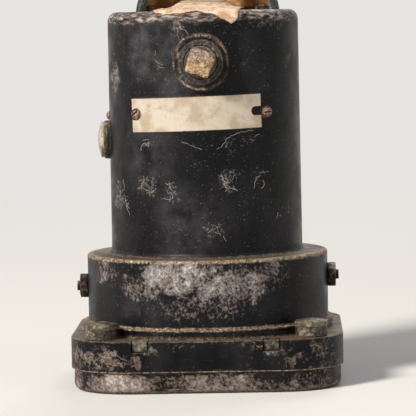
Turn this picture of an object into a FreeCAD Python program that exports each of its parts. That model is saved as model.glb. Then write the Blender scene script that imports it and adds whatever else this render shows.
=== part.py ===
import FreeCAD, Part
import math
import os

os.makedirs("parts", exist_ok=True)

# Aircraft turn and bank indicator, millimetres.
# Z points to the rear of the instrument, the bezel's face lies at z = 0,
# +Y is the dial's upper edge and -Y the side of the test port and nameplate.

# Fits
cutter_past = 1.0
seat_gap = 0.05
running_gap = 0.05
face_gap = 0.2

# Rotor and its shaft
rotor_radius = 20.5
rotor_half_width = 6.5
rotor_rim_depth = 6.0
rotor_web_half = 2.0
rotor_hub_radius = 4.5
rotor_edge = 0.6
bucket_count = 24
bucket_radius = 3.0
bucket_half_width = 4.6
shaft_radius = 1.2
shaft_end_gap = 1.5
shaft_tip = 1.8

# Gimbal frame
gimbal_end_gap = 2.0
gimbal_side_gap = 4.0
gimbal_section = 3.5
gimbal_half_depth = 4.0
gimbal_corner = 3.0
bearing_screw_radius = 2.2
bearing_screw_proud = 2.0
pivot_radius = 1.2
pivot_collar_radius = 2.6
pivot_collar_height = 1.0
lever_end_radius = 1.6
weight_radius = 2.4
weight_length = 2.6
weight_stem_radius = 0.9
weight_stem_length = 1.4
weight_offset = 16.0

# Cage that carries the gimbal
rotor_to_pillar = 0.7
pillar_radius = 2.0
pillar_to_wall = 0.7
pillar_angles = (45, 135, 225, 315)
bridge_gap = 1.5
rear_bridge_thickness = 2.5
rear_bridge_hub = 6.0
bearing_radius = 3.0
bearing_flange = 0.6
bearing_rim = 1.0
bridge_screw_radius = 2.3
bridge_screw_height = 1.4
rear_room = 6.1

# Mechanism plate and front bridge
plate_thickness = 2.5
plate_edge_gap = 0.4
lug_reach = 5.6
lug_half_width = 4.0
lug_height = 12.0
stud_height = 7.4
stud_skew = 1.1  # how far the +X stud sits above, and the -X one below, that height
bridge_height = 13.4
bridge_thickness = 3.0
bridge_half_width = 4.0
post_radius = 2.5
post_inset = 6.9

# Crank, fork and needle
crank_radius = 6.0
crank_pin_radius = 0.8
crank_thickness = 1.5
pin_past = 0.5
needle_pivot_offset = 10.0
fork_height = 2.5
fork_thickness = 1.5
fork_length = 6.0
fork_slot_half = 0.95
fork_prong = 0.8
fork_hub_radius = 2.2
fork_to_crank = 1.0
staff_radius = 0.8
staff_past = 0.3
bushing_radius = 2.4
bushing_overhang = 1.0
needle_length = 32.0
needle_root_half = 1.9
needle_tip_half = 1.2
needle_thickness = 0.6
needle_to_dial = 1.8
needle_point = 3.0
needle_hub_radius = 2.6

# Dashpot
damping_gap = 2.0
damping_arm_thickness = 1.5
damping_radius = 9.0
damping_pin_radius = 0.7
arm_to_gimbal = 5.5
dashpot_offset = 12.0
dashpot_length = 10.0
dashpot_radius = 3.8
dashpot_bore = 3.2
dashpot_end_wall = 0.8
dashpot_lift = 1.0
dashpot_foot_half = 2.3
piston_length = 3.0
piston_rod_radius = 0.7
rod_end_half = 1.9
rod_end_inner = 2.5
rod_end_outer = 1.7
rod_end_thickness = 1.8
rod_slot_half = 0.8
rod_slot_inner = 1.6
damping_screw_radius = 0.9
damping_screw_proud = 1.2
screw_slot_half = 0.25
screw_slot_depth = 0.5
damping_head_radius = 1.8
damping_head_length = 1.2

# Centring spring and its adjuster
spring_radius = 1.6
spring_wire = 0.3
spring_pitch = 0.88
bracket_thickness = 2.4
bracket_half_height = 3.0
sensitivity_radius = 1.5
sensitivity_tip = 1.6
sensitivity_head_radius = 2.3
sensitivity_head_length = 1.6

# Dial and its posts
dial_setback = 4.6
dial_thickness = 0.8
dial_edge_gap = 0.6
dial_post_radius = 2.0
dial_post_inset = 6.4
dial_screw_radius = 1.6
dial_screw_height = 0.6
staff_hole_radius = 1.6

# Inclinometer
tube_arc_radius = 60.0
tube_drop = 17.0
tube_radius = 3.2
tube_bore = 2.7
tube_half_angle = 17.0
tube_behind_dial = 0.2
ball_radius = 2.5
dial_window_half = 2.8
clip_wall = 0.6
clip_overlap = 1.6
clip_foot_half_x = 1.0
clip_foot_half_y = 2.0
wire_angle = 2.9
wire_width = 0.5
wire_thickness = 0.25

# Wide ring and flange of the case
ring_inset = 4.0
ring_wall = 3.0
ring_height = 20.6
ring_rounding = 0.8
shoulder_wall = 2.0
screw_to_edge = 9.6
flange_corner = 19.0
flange_height = 9.2
bead_proud = 1.5
bead_height = 1.4
groove_proud = 0.9
groove_height = 1.4

# Narrow body of the case
body_wall = 2.5
body_taper = 0.16
foot_fillet = 1.5
rear_wall = 3.0
rear_rounding = 3.0
rear_boss_radius = 11.0
rear_boss_top = 6.4
rear_boss_height = 2.8

# Bezel, glass and gasket
bezel_margin = 0.8
bezel_rounding = 1.8
window_step = 1.2
window_bevel = 1.2
window_lip = 2.4
glass_ledge = 2.2
seal_thickness = 0.6
glass_thickness = 2.4
retainer_thickness = 0.6
gasket_thickness = 0.4

# Bezel screws with their captive nuts
bezel_screw_x = 19.5
bezel_screw_inset = 3.9
bezel_screw_radius = 1.2
bezel_head_radius = 1.75
bezel_head_depth = 1.7
bezel_head_height = 1.2
captive_width = 4.6
captive_depth = 5.6
captive_height = 3.0
captive_gap = 0.3

# Panel mounting at the corners
panel_spacing = 62.87
panel_hole_radius = 1.9
collar_radius = 4.8
collar_height = 3.1
corner_nut_flats = 9.4
corner_nut_height = 1.5
corner_nut_bore = 1.6
corner_nut_crown = 0.7

# Side studs
stud_radius = 1.5
stud_tip = 0.9
side_nut_flats = 6.5
side_nut_height = 2.5

# Test port
port_drop = 15.3
port_boss_radius = 8.3
port_boss_proud = 2.2
port_bushing_radius = 6.6
port_bushing_proud = 0.4
plug_radius = 5.15
plug_length = 5.4
plug_square = 7.1
plug_square_length = 7.0
plug_chamfer = 0.6
plug_turn = 18.6

# Nameplate
plate_drop = 30.6
name_plate_height = 10.0
name_plate_thickness = 0.5
name_plate_half_angle = 40.5
name_plate_slip = -4.5
name_plate_tilt = -1.4
name_plate_lift = 0.1
notch_depth = 3.4
notch_half = 1.4
name_screw_angle = 40.8
name_screw_turn = -0.7
name_screw_radius = 1.7
name_screw_dome = 1.3
name_shank_radius = 0.8
name_shank_length = 1.6

# Adjuster cap
adjuster_hole_radius = 3.5
adjuster_pad_radius = 6.0
adjuster_pad_proud = 0.3
washer_radius = 5.9
washer_thickness = 1.2
cap_radius = 5.5
cap_edge = 1.0
cap_dome = 1.1
cap_stem_clear = 1.5
spanner_hole_radius = 0.6
spanner_hole_offset = 3.0
spanner_hole_depth = 1.0
lock_screw_radius = 1.3
lock_screw_dome = 1.0

# Suction nipple and its paper seal
nipple_radius = 5.15
nipple_root_radius = 5.6
nipple_bore = 3.2
nipple_inner = 0.3
nipple_height = 15.9
paper_thickness = 0.4
paper_collar = 3.6
paper_skirt = 0.6
tongue_start_angle = -80
tongue_end_angle = -58
paper_drop = 3.4

# Intake hood on the rear face
hood_mouth_radius = 21.8
hood_depth = 15.0
hood_mouth_y = 9.0
hood_sink = 3.3
hood_shift = 1.4
hood_turn = 8.0
hood_wall = 0.8
hood_bead_radius = 1.3
hood_foot_width = 2.4
hood_ear_radius = 2.2
hood_foot_thickness = 1.0
hood_screw_radius = 1.3
hood_screw_inset = 2.4
hood_screw_height = 1.0
hood_screw_angles = (33, 68, 112, 147)
screen_radius = 3.4
screen_height = 1.2
screen_rim = 0.6
intake_offset = 15.4
intake_bore = 2.0

# Jet tube
jet_radius = 2.0
jet_bore = 1.2
jet_drop = 4.0
jet_slope = 9.0
jet_reach = 12.0
jet_to_wall = 0.4

# Heights from the bezel's face to the rear
glass_front = window_lip + seal_thickness
glass_back = glass_front + glass_thickness
bezel_height = glass_back + retainer_thickness
flange_low = bezel_height + gasket_thickness
flange_top = flange_low + flange_height
bead_low = flange_top + groove_height
bead_top = bead_low + bead_height
ring_top = bead_top + ring_height
shoulder_low = ring_top - shoulder_wall
dial_low = flange_low + dial_setback
dial_high = dial_low + dial_thickness
needle_low = dial_low - needle_to_dial - needle_thickness
tube_z = dial_high + tube_behind_dial + tube_radius + clip_wall
plate_low = tube_z + tube_radius + clip_wall + 2 * face_gap
plate_high = plate_low + plate_thickness
stud_z = plate_high + stud_height
stud_levels = ((1, stud_z + stud_skew), (-1, stud_z - stud_skew))
fork_low = plate_high + fork_height
fork_high = fork_low + fork_thickness
crank_low = fork_high + fork_to_crank
crank_high = crank_low + crank_thickness
bridge_low = plate_high + bridge_height
bridge_high = bridge_low + bridge_thickness
arm_low = bridge_high + damping_gap
arm_high = arm_low + damping_arm_thickness
gimbal_low = arm_high + arm_to_gimbal
gimbal_inner_low = gimbal_low + gimbal_section
rotor_z = gimbal_inner_low + gimbal_end_gap + rotor_radius
gimbal_inner_high = rotor_z + rotor_radius + gimbal_end_gap
gimbal_high = gimbal_inner_high + gimbal_section
rear_bridge_low = gimbal_high + bridge_gap
rear_bridge_high = rear_bridge_low + rear_bridge_thickness
cavity_top = rear_bridge_high + rear_room
body_top = cavity_top + rear_wall
boss_top = body_top + rear_boss_height
port_z = body_top - port_drop
name_plate_z = body_top - plate_drop
lock_screw_z = rotor_z + adjuster_pad_radius + lock_screw_radius + 2 * seat_gap
nipple_low = cavity_top + nipple_inner
nipple_top = body_top + nipple_height
dashpot_z = bridge_high + dashpot_lift + dashpot_radius

# Radii and half widths that follow
panel_half = panel_spacing / 2
flange_half = panel_half + screw_to_edge
ring_radius = flange_half - ring_inset
bead_radius = ring_radius + bead_proud
groove_radius = ring_radius + groove_proud
bezel_screw_y = flange_half - bezel_screw_inset
bezel_half = flange_half - bezel_margin
bezel_corner = flange_corner - bezel_margin
front_cavity = ring_radius - ring_wall
window_radius = front_cavity - window_step
glass_pocket_radius = window_radius + glass_ledge
rotor_sweep = math.hypot(rotor_radius, rotor_half_width)
pillar_circle = rotor_sweep + rotor_to_pillar + pillar_radius
body_cavity = pillar_circle + pillar_radius + pillar_to_wall
body_foot = body_cavity + body_wall
body_rim = body_foot - body_taper
bracket_inner = pillar_circle - bracket_thickness / 2
bracket_outer = pillar_circle + bracket_thickness / 2
sensitivity_start = bracket_inner - sensitivity_tip
sensitivity_seat = bracket_outer + face_gap
sensitivity_end = sensitivity_seat + sensitivity_head_length
port_boss_reach = body_foot + port_boss_proud
post_spread = body_cavity - post_inset
gimbal_inner_half = rotor_half_width + gimbal_side_gap
gimbal_outer_half = gimbal_inner_half + gimbal_section
shaft_half = rotor_half_width + shaft_end_gap + shaft_tip
bearing_inner = rotor_half_width + shaft_end_gap
bearing_outer = gimbal_outer_half + bearing_screw_proud
spring_start = bearing_outer + face_gap
spring_length = sensitivity_start - face_gap - spring_start
adjuster_pad_face = body_foot + adjuster_pad_proud
cap_face = adjuster_pad_face + washer_thickness
cap_stem = cap_face - sensitivity_end - cap_stem_clear
dial_radius = front_cavity - dial_edge_gap
dial_post_spread = dial_radius - dial_post_inset
pad_radius = pillar_radius + pillar_to_wall - seat_gap
plate_radius = front_cavity - plate_edge_gap
name_plate_radius = body_foot - body_taper / 2 + name_plate_lift
name_screw_seat = name_plate_radius + name_plate_thickness + name_plate_lift


def save(name, shape):
    shape.exportStep("parts/" + name + ".step")
    print(name, len(shape.Solids), round(shape.Volume, 1))


def rod(radius, start, end):
    foot = FreeCAD.Vector(*start)
    along = FreeCAD.Vector(*end).sub(foot)
    return Part.makeCylinder(radius, along.Length, foot, along)


def upright(radius, low, high, x=0, y=0):
    return rod(radius, (x, y, low), (x, y, high))


def tube(radius, bore, start, end):
    return rod(radius, start, end).cut(rod(bore, start, end))


def block(low, high):
    size = [top - bottom for bottom, top in zip(low, high)]
    return Part.makeBox(*size, FreeCAD.Vector(*low))


def lathe(points, angle=360):
    """Turns a closed (radius, z) outline about Z, starting from +X."""
    corners = [FreeCAD.Vector(radius, 0, z) for radius, z in points]
    outline = Part.makePolygon(corners + corners[:1])
    return Part.Face(outline).revolve(FreeCAD.Vector(), FreeCAD.Vector(0, 0, 1), angle)


def turned(shape, angle, centre=(0, 0, 0), axis=(0, 0, 1)):
    copy = shape.copy()
    copy.rotate(FreeCAD.Vector(*centre), FreeCAD.Vector(*axis), angle)
    return copy


def nut(flats, low, high, x=0, y=0, turn=0):
    """A hexagon prism standing along Z."""
    reach = flats / math.sqrt(3)
    angles = [math.radians(turn + 60 * side) for side in range(7)]
    corners = [
        FreeCAD.Vector(x + reach * math.cos(a), y + reach * math.sin(a), low) for a in angles
    ]
    return Part.Face(Part.makePolygon(corners)).extrude(FreeCAD.Vector(0, 0, high - low))


def fused(shapes):
    return shapes[0].multiFuse(shapes[1:]) if len(shapes) > 1 else shapes[0]


def group(shapes):
    return Part.makeCompound(shapes)


def rims(shape, radius, z):
    """The circular edges of one radius that lie at one height."""
    found = []
    for edge in shape.Edges:
        curve = edge.Curve
        if not isinstance(curve, Part.Circle):
            continue
        if abs(curve.Radius - radius) < 0.01 and abs(edge.BoundBox.ZMin - z) < 0.01:
            if edge.BoundBox.ZLength < 0.01:
                found.append(edge)
    return found


def rounded_square(half, corner, low, high):
    plate = block((-half, -half, low), (half, half, high))
    uprights = [edge for edge in plate.Edges if edge.BoundBox.ZLength > 0.5 * (high - low)]
    return plate.makeFillet(corner, uprights)


def around(spread_x, spread_y):
    """The four places at plus and minus both distances."""
    return [(sx * spread_x, sy * spread_y) for sx in (-1, 1) for sy in (-1, 1)]


def both_sides(shape):
    """A piece on +X and the same piece turned half a turn about Z."""
    return [shape, turned(shape, 180)]


# Holes that several pieces share


def stud_holes():
    radius = stud_radius + seat_gap
    return [rod(radius, (0, 0, level), (side * flange_half, 0, level)) for side, level in stud_levels]


def panel_holes(low, high):
    return [upright(panel_hole_radius, low, high, x, y) for x, y in around(panel_half, panel_half)]


def bezel_screw_holes(low, high):
    radius = bezel_screw_radius + seat_gap
    return [upright(radius, low, high, x, y) for x, y in around(bezel_screw_x, bezel_screw_y)]


# The case


def body_radius_at(z):
    """The tapered body's radius at one height."""
    return body_foot - body_taper * (z - ring_top) / (body_top - ring_top)


def case_outside():
    """Bead, wide ring, tapered body and the boss on the rear wall."""
    outline = [
        (0, flange_top), (groove_radius, flange_top), (groove_radius, bead_low),
        (bead_radius, bead_low), (bead_radius, bead_top), (ring_radius, bead_top),
        (ring_radius, ring_top), (body_foot, ring_top), (body_rim, body_top),
        (rear_boss_radius, body_top), (rear_boss_top, boss_top), (0, boss_top),
    ]
    body = lathe(outline)
    body = body.makeFillet(rear_rounding, rims(body, body_rim, body_top))
    body = body.makeFillet(foot_fillet, rims(body, body_foot, ring_top))
    return body.makeFillet(ring_rounding, rims(body, ring_radius, ring_top))


def captive_pocket(x, y):
    """A slot in the flange's edge that holds one square nut."""
    side = math.copysign(1, y)
    half = captive_width / 2 + captive_gap
    inner = abs(y) - captive_depth / 2 - captive_gap
    low = flange_top - captive_height - captive_gap
    near = (x - half, side * inner, low)
    far = (x + half, side * (flange_half + cutter_past), flange_top)
    corners = list(zip(near, far))
    return block([min(pair) for pair in corners], [max(pair) for pair in corners])


def case_body():
    flange = rounded_square(flange_half, flange_corner, flange_low, flange_top)
    port_boss = rod(port_boss_radius, (0, -body_cavity, port_z), (0, -port_boss_reach, port_z))
    pad = rod(adjuster_pad_radius, (-body_cavity, 0, rotor_z), (-adjuster_pad_face, 0, rotor_z))
    case = fused([case_outside(), flange, port_boss, pad])
    outside = port_boss_reach + cutter_past
    openings = [
        upright(front_cavity, flange_low - cutter_past, shoulder_low),
        upright(body_cavity, shoulder_low - cutter_past, cavity_top),
        upright(nipple_root_radius + seat_gap, cavity_top - cutter_past, boss_top + cutter_past),
        upright(intake_bore, cavity_top - cutter_past, body_top + cutter_past, 0, intake_offset),
        rod(port_bushing_radius, (0, -body_cavity + 2 * cutter_past, port_z), (0, -outside, port_z)),
        rod(adjuster_hole_radius, (-body_cavity + 2 * cutter_past, 0, rotor_z), (-outside, 0, rotor_z)),
    ]
    openings += stud_holes()
    openings += name_screw_holes()
    openings += panel_holes(flange_low - cutter_past, flange_top + cutter_past)
    openings += bezel_screw_holes(flange_low - cutter_past, flange_top)
    openings += [captive_pocket(x, y) for x, y in around(bezel_screw_x, bezel_screw_y)]
    return case.cut(openings)


# Front closure


def bezel():
    body = rounded_square(bezel_half, bezel_corner, 0, bezel_height)
    lower = [edge for edge in body.Edges if edge.BoundBox.ZMax < 0.01]
    body = body.makeFillet(bezel_rounding, lower)
    bevel = Part.makeCone(window_radius + window_bevel, window_radius, window_bevel)
    openings = [
        upright(window_radius, -cutter_past, bezel_height + cutter_past),
        bevel,
        upright(glass_pocket_radius, window_lip, bezel_height + cutter_past),
    ]
    openings += panel_holes(-cutter_past, bezel_height + cutter_past)
    openings += bezel_screw_holes(-cutter_past, bezel_height + cutter_past)
    openings += [
        upright(bezel_head_radius + seat_gap, -1, bezel_head_depth, x, y)
        for x, y in around(bezel_screw_x, bezel_screw_y)
    ]
    return body.cut(openings)


def bezel_gasket():
    sheet = rounded_square(bezel_half, bezel_corner, bezel_height, flange_low)
    openings = [upright(glass_pocket_radius, bezel_height - cutter_past, flange_low + cutter_past)]
    openings += panel_holes(bezel_height - cutter_past, flange_low + cutter_past)
    openings += bezel_screw_holes(bezel_height - cutter_past, flange_low + cutter_past)
    return sheet.cut(openings)


def glass_seal():
    outer = glass_pocket_radius - seat_gap
    return tube(outer, window_radius, (0, 0, window_lip), (0, 0, glass_front))


def cover_glass():
    return upright(glass_pocket_radius - face_gap, glass_front, glass_back)


def glass_retainer():
    outer = glass_pocket_radius - seat_gap
    return tube(outer, window_radius, (0, 0, glass_back), (0, 0, bezel_height))


def bezel_screws():
    screws = []
    for x, y in around(bezel_screw_x, bezel_screw_y):
        head_low = bezel_head_depth - bezel_head_height
        head = upright(bezel_head_radius, head_low, bezel_head_depth, x, y)
        shank = upright(bezel_screw_radius, bezel_head_depth, flange_top - captive_gap, x, y)
        screws.append(head.fuse(shank))
    return group(screws)


def bezel_nuts():
    nuts = []
    for x, y in around(bezel_screw_x, bezel_screw_y):
        low = flange_top - captive_height
        half_x = captive_width / 2
        half_y = captive_depth / 2
        body = block((x - half_x, y - half_y, low), (x + half_x, y + half_y, flange_top))
        bore = upright(bezel_screw_radius + seat_gap, low, flange_top, x, y)
        nuts.append(body.cut(bore))
    return group(nuts)


# Panel mounting and side studs


def mounting_collars():
    low = flange_top
    high = low + collar_height
    return group([
        tube(collar_radius, panel_hole_radius, (x, y, low), (x, y, high))
        for x, y in around(panel_half, panel_half)
    ])


def mounting_nuts():
    low = flange_top + collar_height
    high = low + corner_nut_height
    top = high + corner_nut_crown
    nuts = []
    for index, (x, y) in enumerate(around(panel_half, panel_half)):
        crown = dome(corner_nut_flats / 2, corner_nut_crown)
        crown.translate(FreeCAD.Vector(x, y, high))
        body = nut(corner_nut_flats, low, high, x, y, turn=12 * index).fuse(crown)
        nuts.append(body.cut(upright(corner_nut_bore, low, top, x, y)))
    return group(nuts)


def side_studs():
    inner = plate_radius - lug_reach
    outer = ring_radius + side_nut_height + stud_tip
    return group([
        rod(stud_radius, (side * inner, 0, level), (side * outer, 0, level))
        for side, level in stud_levels
    ])


def side_nuts():
    body = nut(side_nut_flats, 0, side_nut_height).cut(
        upright(stud_radius + seat_gap, 0, side_nut_height)
    )
    body = turned(body, 90, axis=(0, 1, 0))
    body.translate(FreeCAD.Vector(ring_radius, 0, 0))
    pair = both_sides(body)
    for piece, (side, level) in zip(pair, stud_levels):
        piece.translate(FreeCAD.Vector(0, 0, level))
    return group(pair)


# Fittings on the case


def port_bushing():
    inner = (0, -body_cavity, port_z)
    outer = (0, -port_boss_reach - port_bushing_proud, port_z)
    return tube(port_bushing_radius, plug_radius + seat_gap, inner, outer)


def pipe_plug():
    face = port_boss_reach + port_bushing_proud
    thread = rod(plug_radius, (0, -face + plug_length, port_z), (0, -face, port_z))
    half = plug_square / 2
    head = block((-half, -face - plug_square_length, port_z - half), (half, -face, port_z + half))
    tip = min(head.Faces, key=lambda side: side.CenterOfMass.y)
    head = head.makeChamfer(plug_chamfer, tip.Edges)
    head = turned(head, plug_turn, centre=(0, 0, port_z), axis=(0, 1, 0))
    return thread.fuse(head)


def nameplate():
    """A strip bent round the body with a slot in each end, slipped and tilted."""
    half = name_plate_height / 2
    outer = name_plate_radius + name_plate_thickness
    outline = [
        (name_plate_radius, -half), (outer, -half), (outer, half), (name_plate_radius, half)
    ]
    strip = turned(lathe(outline, 2 * name_plate_half_angle), -90 - name_plate_half_angle)
    notch_angle = math.degrees((notch_depth - notch_half) / outer)
    inside = -name_plate_radius + notch_depth
    round_end = rod(notch_half, (0, inside, 0), (0, -outer - cutter_past, 0))
    straight = block((0, -outer - cutter_past, -notch_half), (3 * notch_depth, inside, notch_half))
    slot = turned(round_end.fuse(straight), name_plate_half_angle - notch_angle)
    strip = strip.cut([slot, turned(slot, 180, axis=(0, 1, 0))])
    strip = turned(strip, name_plate_slip)
    strip = turned(strip, name_plate_tilt, axis=(0, 1, 0))
    strip.translate(FreeCAD.Vector(0, 0, name_plate_z))
    return strip


def dome(radius, height):
    """A spherical cap that stands on z = 0."""
    sphere_radius = (radius ** 2 + height ** 2) / (2 * height)
    ball = Part.makeSphere(sphere_radius, FreeCAD.Vector(0, 0, height - sphere_radius))
    return ball.common(upright(radius + cutter_past, 0, height + cutter_past))


def name_screw_angles():
    return [name_screw_turn + side * name_screw_angle for side in (-1, 1)]


def nameplate_screws():
    screws = []
    for angle in name_screw_angles():
        screw = dome(name_screw_radius, name_screw_dome)
        screw = screw.fuse(upright(name_shank_radius, -name_shank_length, 0))
        screw = turned(screw, 90, axis=(1, 0, 0))
        screw.translate(FreeCAD.Vector(0, -name_screw_seat, name_plate_z))
        screws.append(turned(screw, angle))
    return group(screws)


def name_screw_holes():
    depth = -name_screw_seat + name_shank_length + seat_gap
    hole = rod(
        name_shank_radius + seat_gap, (0, depth, name_plate_z), (0, -name_screw_seat, name_plate_z)
    )
    return [turned(hole, angle) for angle in name_screw_angles()]


def adjuster_cap():
    cap = upright(cap_radius, 0, cap_edge)
    top = dome(cap_radius, cap_dome)
    top.translate(FreeCAD.Vector(0, 0, cap_edge))
    stem = upright(adjuster_hole_radius - seat_gap, -cap_stem, 0)
    height = cap_edge + cap_dome
    holes = [
        upright(spanner_hole_radius, height - spanner_hole_depth, height + cutter_past, 0, y)
        for y in (-spanner_hole_offset, spanner_hole_offset)
    ]
    cap = turned(fused([cap, top, stem]).cut(holes), -90, axis=(0, 1, 0))
    cap.translate(FreeCAD.Vector(-cap_face, 0, rotor_z))
    return cap


def adjuster_cap_washer():
    start = (-adjuster_pad_face, 0, rotor_z)
    end = (-cap_face, 0, rotor_z)
    return tube(washer_radius, adjuster_hole_radius, start, end)


def cap_lock_screw():
    screw = dome(lock_screw_radius, lock_screw_dome)
    screw = turned(screw, -90, axis=(0, 1, 0))
    screw.translate(FreeCAD.Vector(-body_radius_at(lock_screw_z), 0, lock_screw_z))
    return screw


# Rear of the case


def suction_nipple():
    """A thick root in the rear boss and the free end for the hose."""
    root = upright(nipple_root_radius, nipple_low, boss_top + paper_collar)
    free_end = upright(nipple_radius, nipple_low, nipple_top)
    return root.fuse(free_end).cut(upright(nipple_bore, nipple_low, nipple_top))


def paper_seal():
    """A wound collar, a skirt on the boss and a tongue over the rear edge."""
    inner = nipple_root_radius + seat_gap
    collar = tube(inner + paper_thickness, inner, (0, 0, boss_top), (0, 0, boss_top + paper_collar))
    skirt_edge = rear_boss_radius + paper_skirt
    face_low = body_top + seat_gap
    face_high = face_low + paper_thickness
    skirt = lathe([
        (inner, boss_top), (rear_boss_top, boss_top), (rear_boss_radius, face_low),
        (skirt_edge, face_low), (skirt_edge, face_high), (rear_boss_radius, face_high),
        (rear_boss_top + paper_thickness, boss_top + paper_thickness),
        (inner, boss_top + paper_thickness),
    ])
    side = body_rim + 2 * seat_gap
    over = rounded_disc(side + paper_thickness, face_high, rear_rounding + paper_thickness)
    under = rounded_disc(side, face_low, rear_rounding)
    sector = turned(
        lathe([
            (rear_boss_radius, body_top - paper_drop), (body_foot + cutter_past, body_top - paper_drop),
            (body_foot + cutter_past, face_high + cutter_past), (rear_boss_radius, face_high + cutter_past),
        ], tongue_end_angle - tongue_start_angle),
        tongue_start_angle,
    )
    return fused([collar, skirt, over.cut(under).common(sector)])


def rounded_disc(radius, top, rounding):
    """A disc whose upper edge is rounded like the rear edge of the case."""
    disc = upright(radius, top - 3 * rear_rounding, top)
    return disc.makeFillet(rounding, rims(disc, radius, top))


def hood_placed(shape):
    """Moves a piece from the hood's own frame, mouth in the plane y = 0."""
    shape.translate(FreeCAD.Vector(hood_shift, hood_mouth_y, body_top))
    return turned(shape, hood_turn, centre=(hood_shift, hood_mouth_y, 0))


def hood_sphere_radius():
    return (hood_mouth_radius ** 2 + hood_depth ** 2) / (2 * hood_depth)


def hood_cap(inset):
    """The part of a ball behind the mouth and above the rear face."""
    radius = hood_sphere_radius()
    centre = FreeCAD.Vector(0, hood_depth - radius, -hood_sink)
    reach = 2 * hood_mouth_radius
    room = block((-reach, 0, 0), (reach, reach, reach))
    return Part.makeSphere(radius - inset, centre).common(room)


def intake_hood():
    reach = 2 * hood_mouth_radius
    above = block((-reach, -reach, 0), (reach, reach, reach))
    shell = hood_cap(0).cut(hood_cap(hood_wall))
    bead_circle = hood_mouth_radius - hood_wall / 2
    bead = Part.makeTorus(
        bead_circle, hood_bead_radius, FreeCAD.Vector(0, 0, -hood_sink), FreeCAD.Vector(0, 1, 0)
    ).common(above)
    slab = block((-reach, 0, 0), (reach, reach, hood_foot_thickness))
    foot = hood_cap(0).common(slab).cut(hood_cap(hood_foot_width))
    places = [hood_screw_place(angle) for angle in hood_screw_angles]
    ears = [upright(hood_ear_radius, 0, hood_foot_thickness, x, y) for x, y in places]
    ears = [ear.common(hood_cap(0)) for ear in ears]
    hole_radius = name_shank_radius + seat_gap
    holes = [upright(hole_radius, -1, hood_foot_thickness, x, y) for x, y in places]
    return hood_placed(fused([shell, bead, foot] + ears).cut(holes))


def hood_screw_place(angle):
    """The middle of an ear on the hood's foot."""
    radius = hood_sphere_radius()
    base_circle = math.sqrt(radius ** 2 - hood_sink ** 2)
    distance = base_circle - hood_screw_inset
    centre_y = hood_depth - radius
    turn = math.radians(angle)
    return distance * math.cos(turn), centre_y + distance * math.sin(turn)


def hood_screws():
    screws = []
    for angle in hood_screw_angles:
        x, y = hood_screw_place(angle)
        head = dome(hood_screw_radius, hood_screw_height)
        head.translate(FreeCAD.Vector(x, y, hood_foot_thickness))
        shank = upright(name_shank_radius, 0, hood_foot_thickness, x, y)
        screws.append(hood_placed(head.fuse(shank)))
    return group(screws)


def intake_screen():
    rim = upright(screen_radius, body_top, body_top + screen_height, 0, intake_offset)
    inner = screen_radius - screen_rim
    well = upright(inner, body_top + screen_height / 2, body_top + screen_height, 0, intake_offset)
    return rim.cut(well)


def jet_route():
    outer = body_cavity - jet_radius - jet_to_wall
    return [
        (0, intake_offset, cavity_top),
        (0, intake_offset, cavity_top - jet_drop),
        (0, outer, cavity_top - jet_drop - jet_slope),
        (0, outer, cavity_top - jet_drop - jet_slope - jet_reach),
    ]


def along_route(points, radius):
    """Straight runs with a ball in each bend."""
    pieces = [rod(radius, start, end) for start, end in zip(points, points[1:])]
    pieces += [Part.makeSphere(radius, FreeCAD.Vector(*point)) for point in points[1:-1]]
    return fused(pieces)


def jet_tube():
    """The air pipe, with a nozzle at its end that faces the buckets."""
    route = jet_route()
    end = route[-1]
    nozzle = rod(jet_radius, end, (0, end[1] - jet_radius, end[2] - jet_radius))
    outside = along_route(route, jet_radius)
    tip = Part.makeSphere(jet_radius, FreeCAD.Vector(*end))
    bore_end = (0, end[1] - 2 * jet_radius, end[2] - 2 * jet_radius)
    bore = fused([along_route(route, jet_bore), rod(jet_bore, end, bore_end)])
    return fused([outside, tip, nozzle]).cut(bore)


# Mechanism plate and cage


def mechanism_plate():
    plate = upright(plate_radius, plate_low, plate_high)
    lugs = []
    for side in (-1, 1):
        near = side * (plate_radius - lug_reach)
        far = side * plate_radius
        lug = block(
            (min(near, far), -lug_half_width, plate_high),
            (max(near, far), lug_half_width, plate_high + lug_height),
        )
        lugs.append(lug.common(upright(plate_radius, plate_high, plate_high + lug_height)))
    body = fused([plate] + lugs)
    return body.cut(stud_holes() + [upright(bushing_radius, plate_low, plate_high, 0, -needle_pivot_offset)])


def front_bridge():
    """A bar on two posts with the ear that carries the dashpot."""
    end = post_spread + post_radius
    bar = block((-end, -bridge_half_width, bridge_low), (end, bridge_half_width, bridge_high))
    ear_end = -dashpot_offset - dashpot_length / 2
    ear = block(
        (damping_radius - dashpot_radius, ear_end, bridge_low),
        (damping_radius + dashpot_radius, 0, bridge_high),
    )
    posts = [upright(post_radius, plate_high, bridge_low, side * post_spread, 0) for side in (-1, 1)]
    body = fused([bar, ear] + posts)
    return body.cut(upright(bearing_radius, bridge_low - cutter_past, bridge_high + cutter_past))


def pivot_bearing(low, high, flange_side):
    body = upright(bearing_radius, low, high)
    edge = high if flange_side > 0 else low - bearing_flange
    rim = upright(bearing_radius + bearing_rim, edge, edge + bearing_flange)
    bore = upright(pivot_radius + running_gap, low - 2 * cutter_past, high + 2 * cutter_past)
    return body.fuse(rim).cut(bore)


def front_bearing():
    return pivot_bearing(bridge_low, bridge_high, -1)


def rear_bearing():
    return pivot_bearing(rear_bridge_low, rear_bridge_high, 1)


def pillar_places():
    angles = [math.radians(angle) for angle in pillar_angles]
    return [(pillar_circle * math.cos(a), pillar_circle * math.sin(a)) for a in angles]


def cage_pillars():
    return group([
        upright(pillar_radius, plate_high, rear_bridge_low, x, y) for x, y in pillar_places()
    ])


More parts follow.
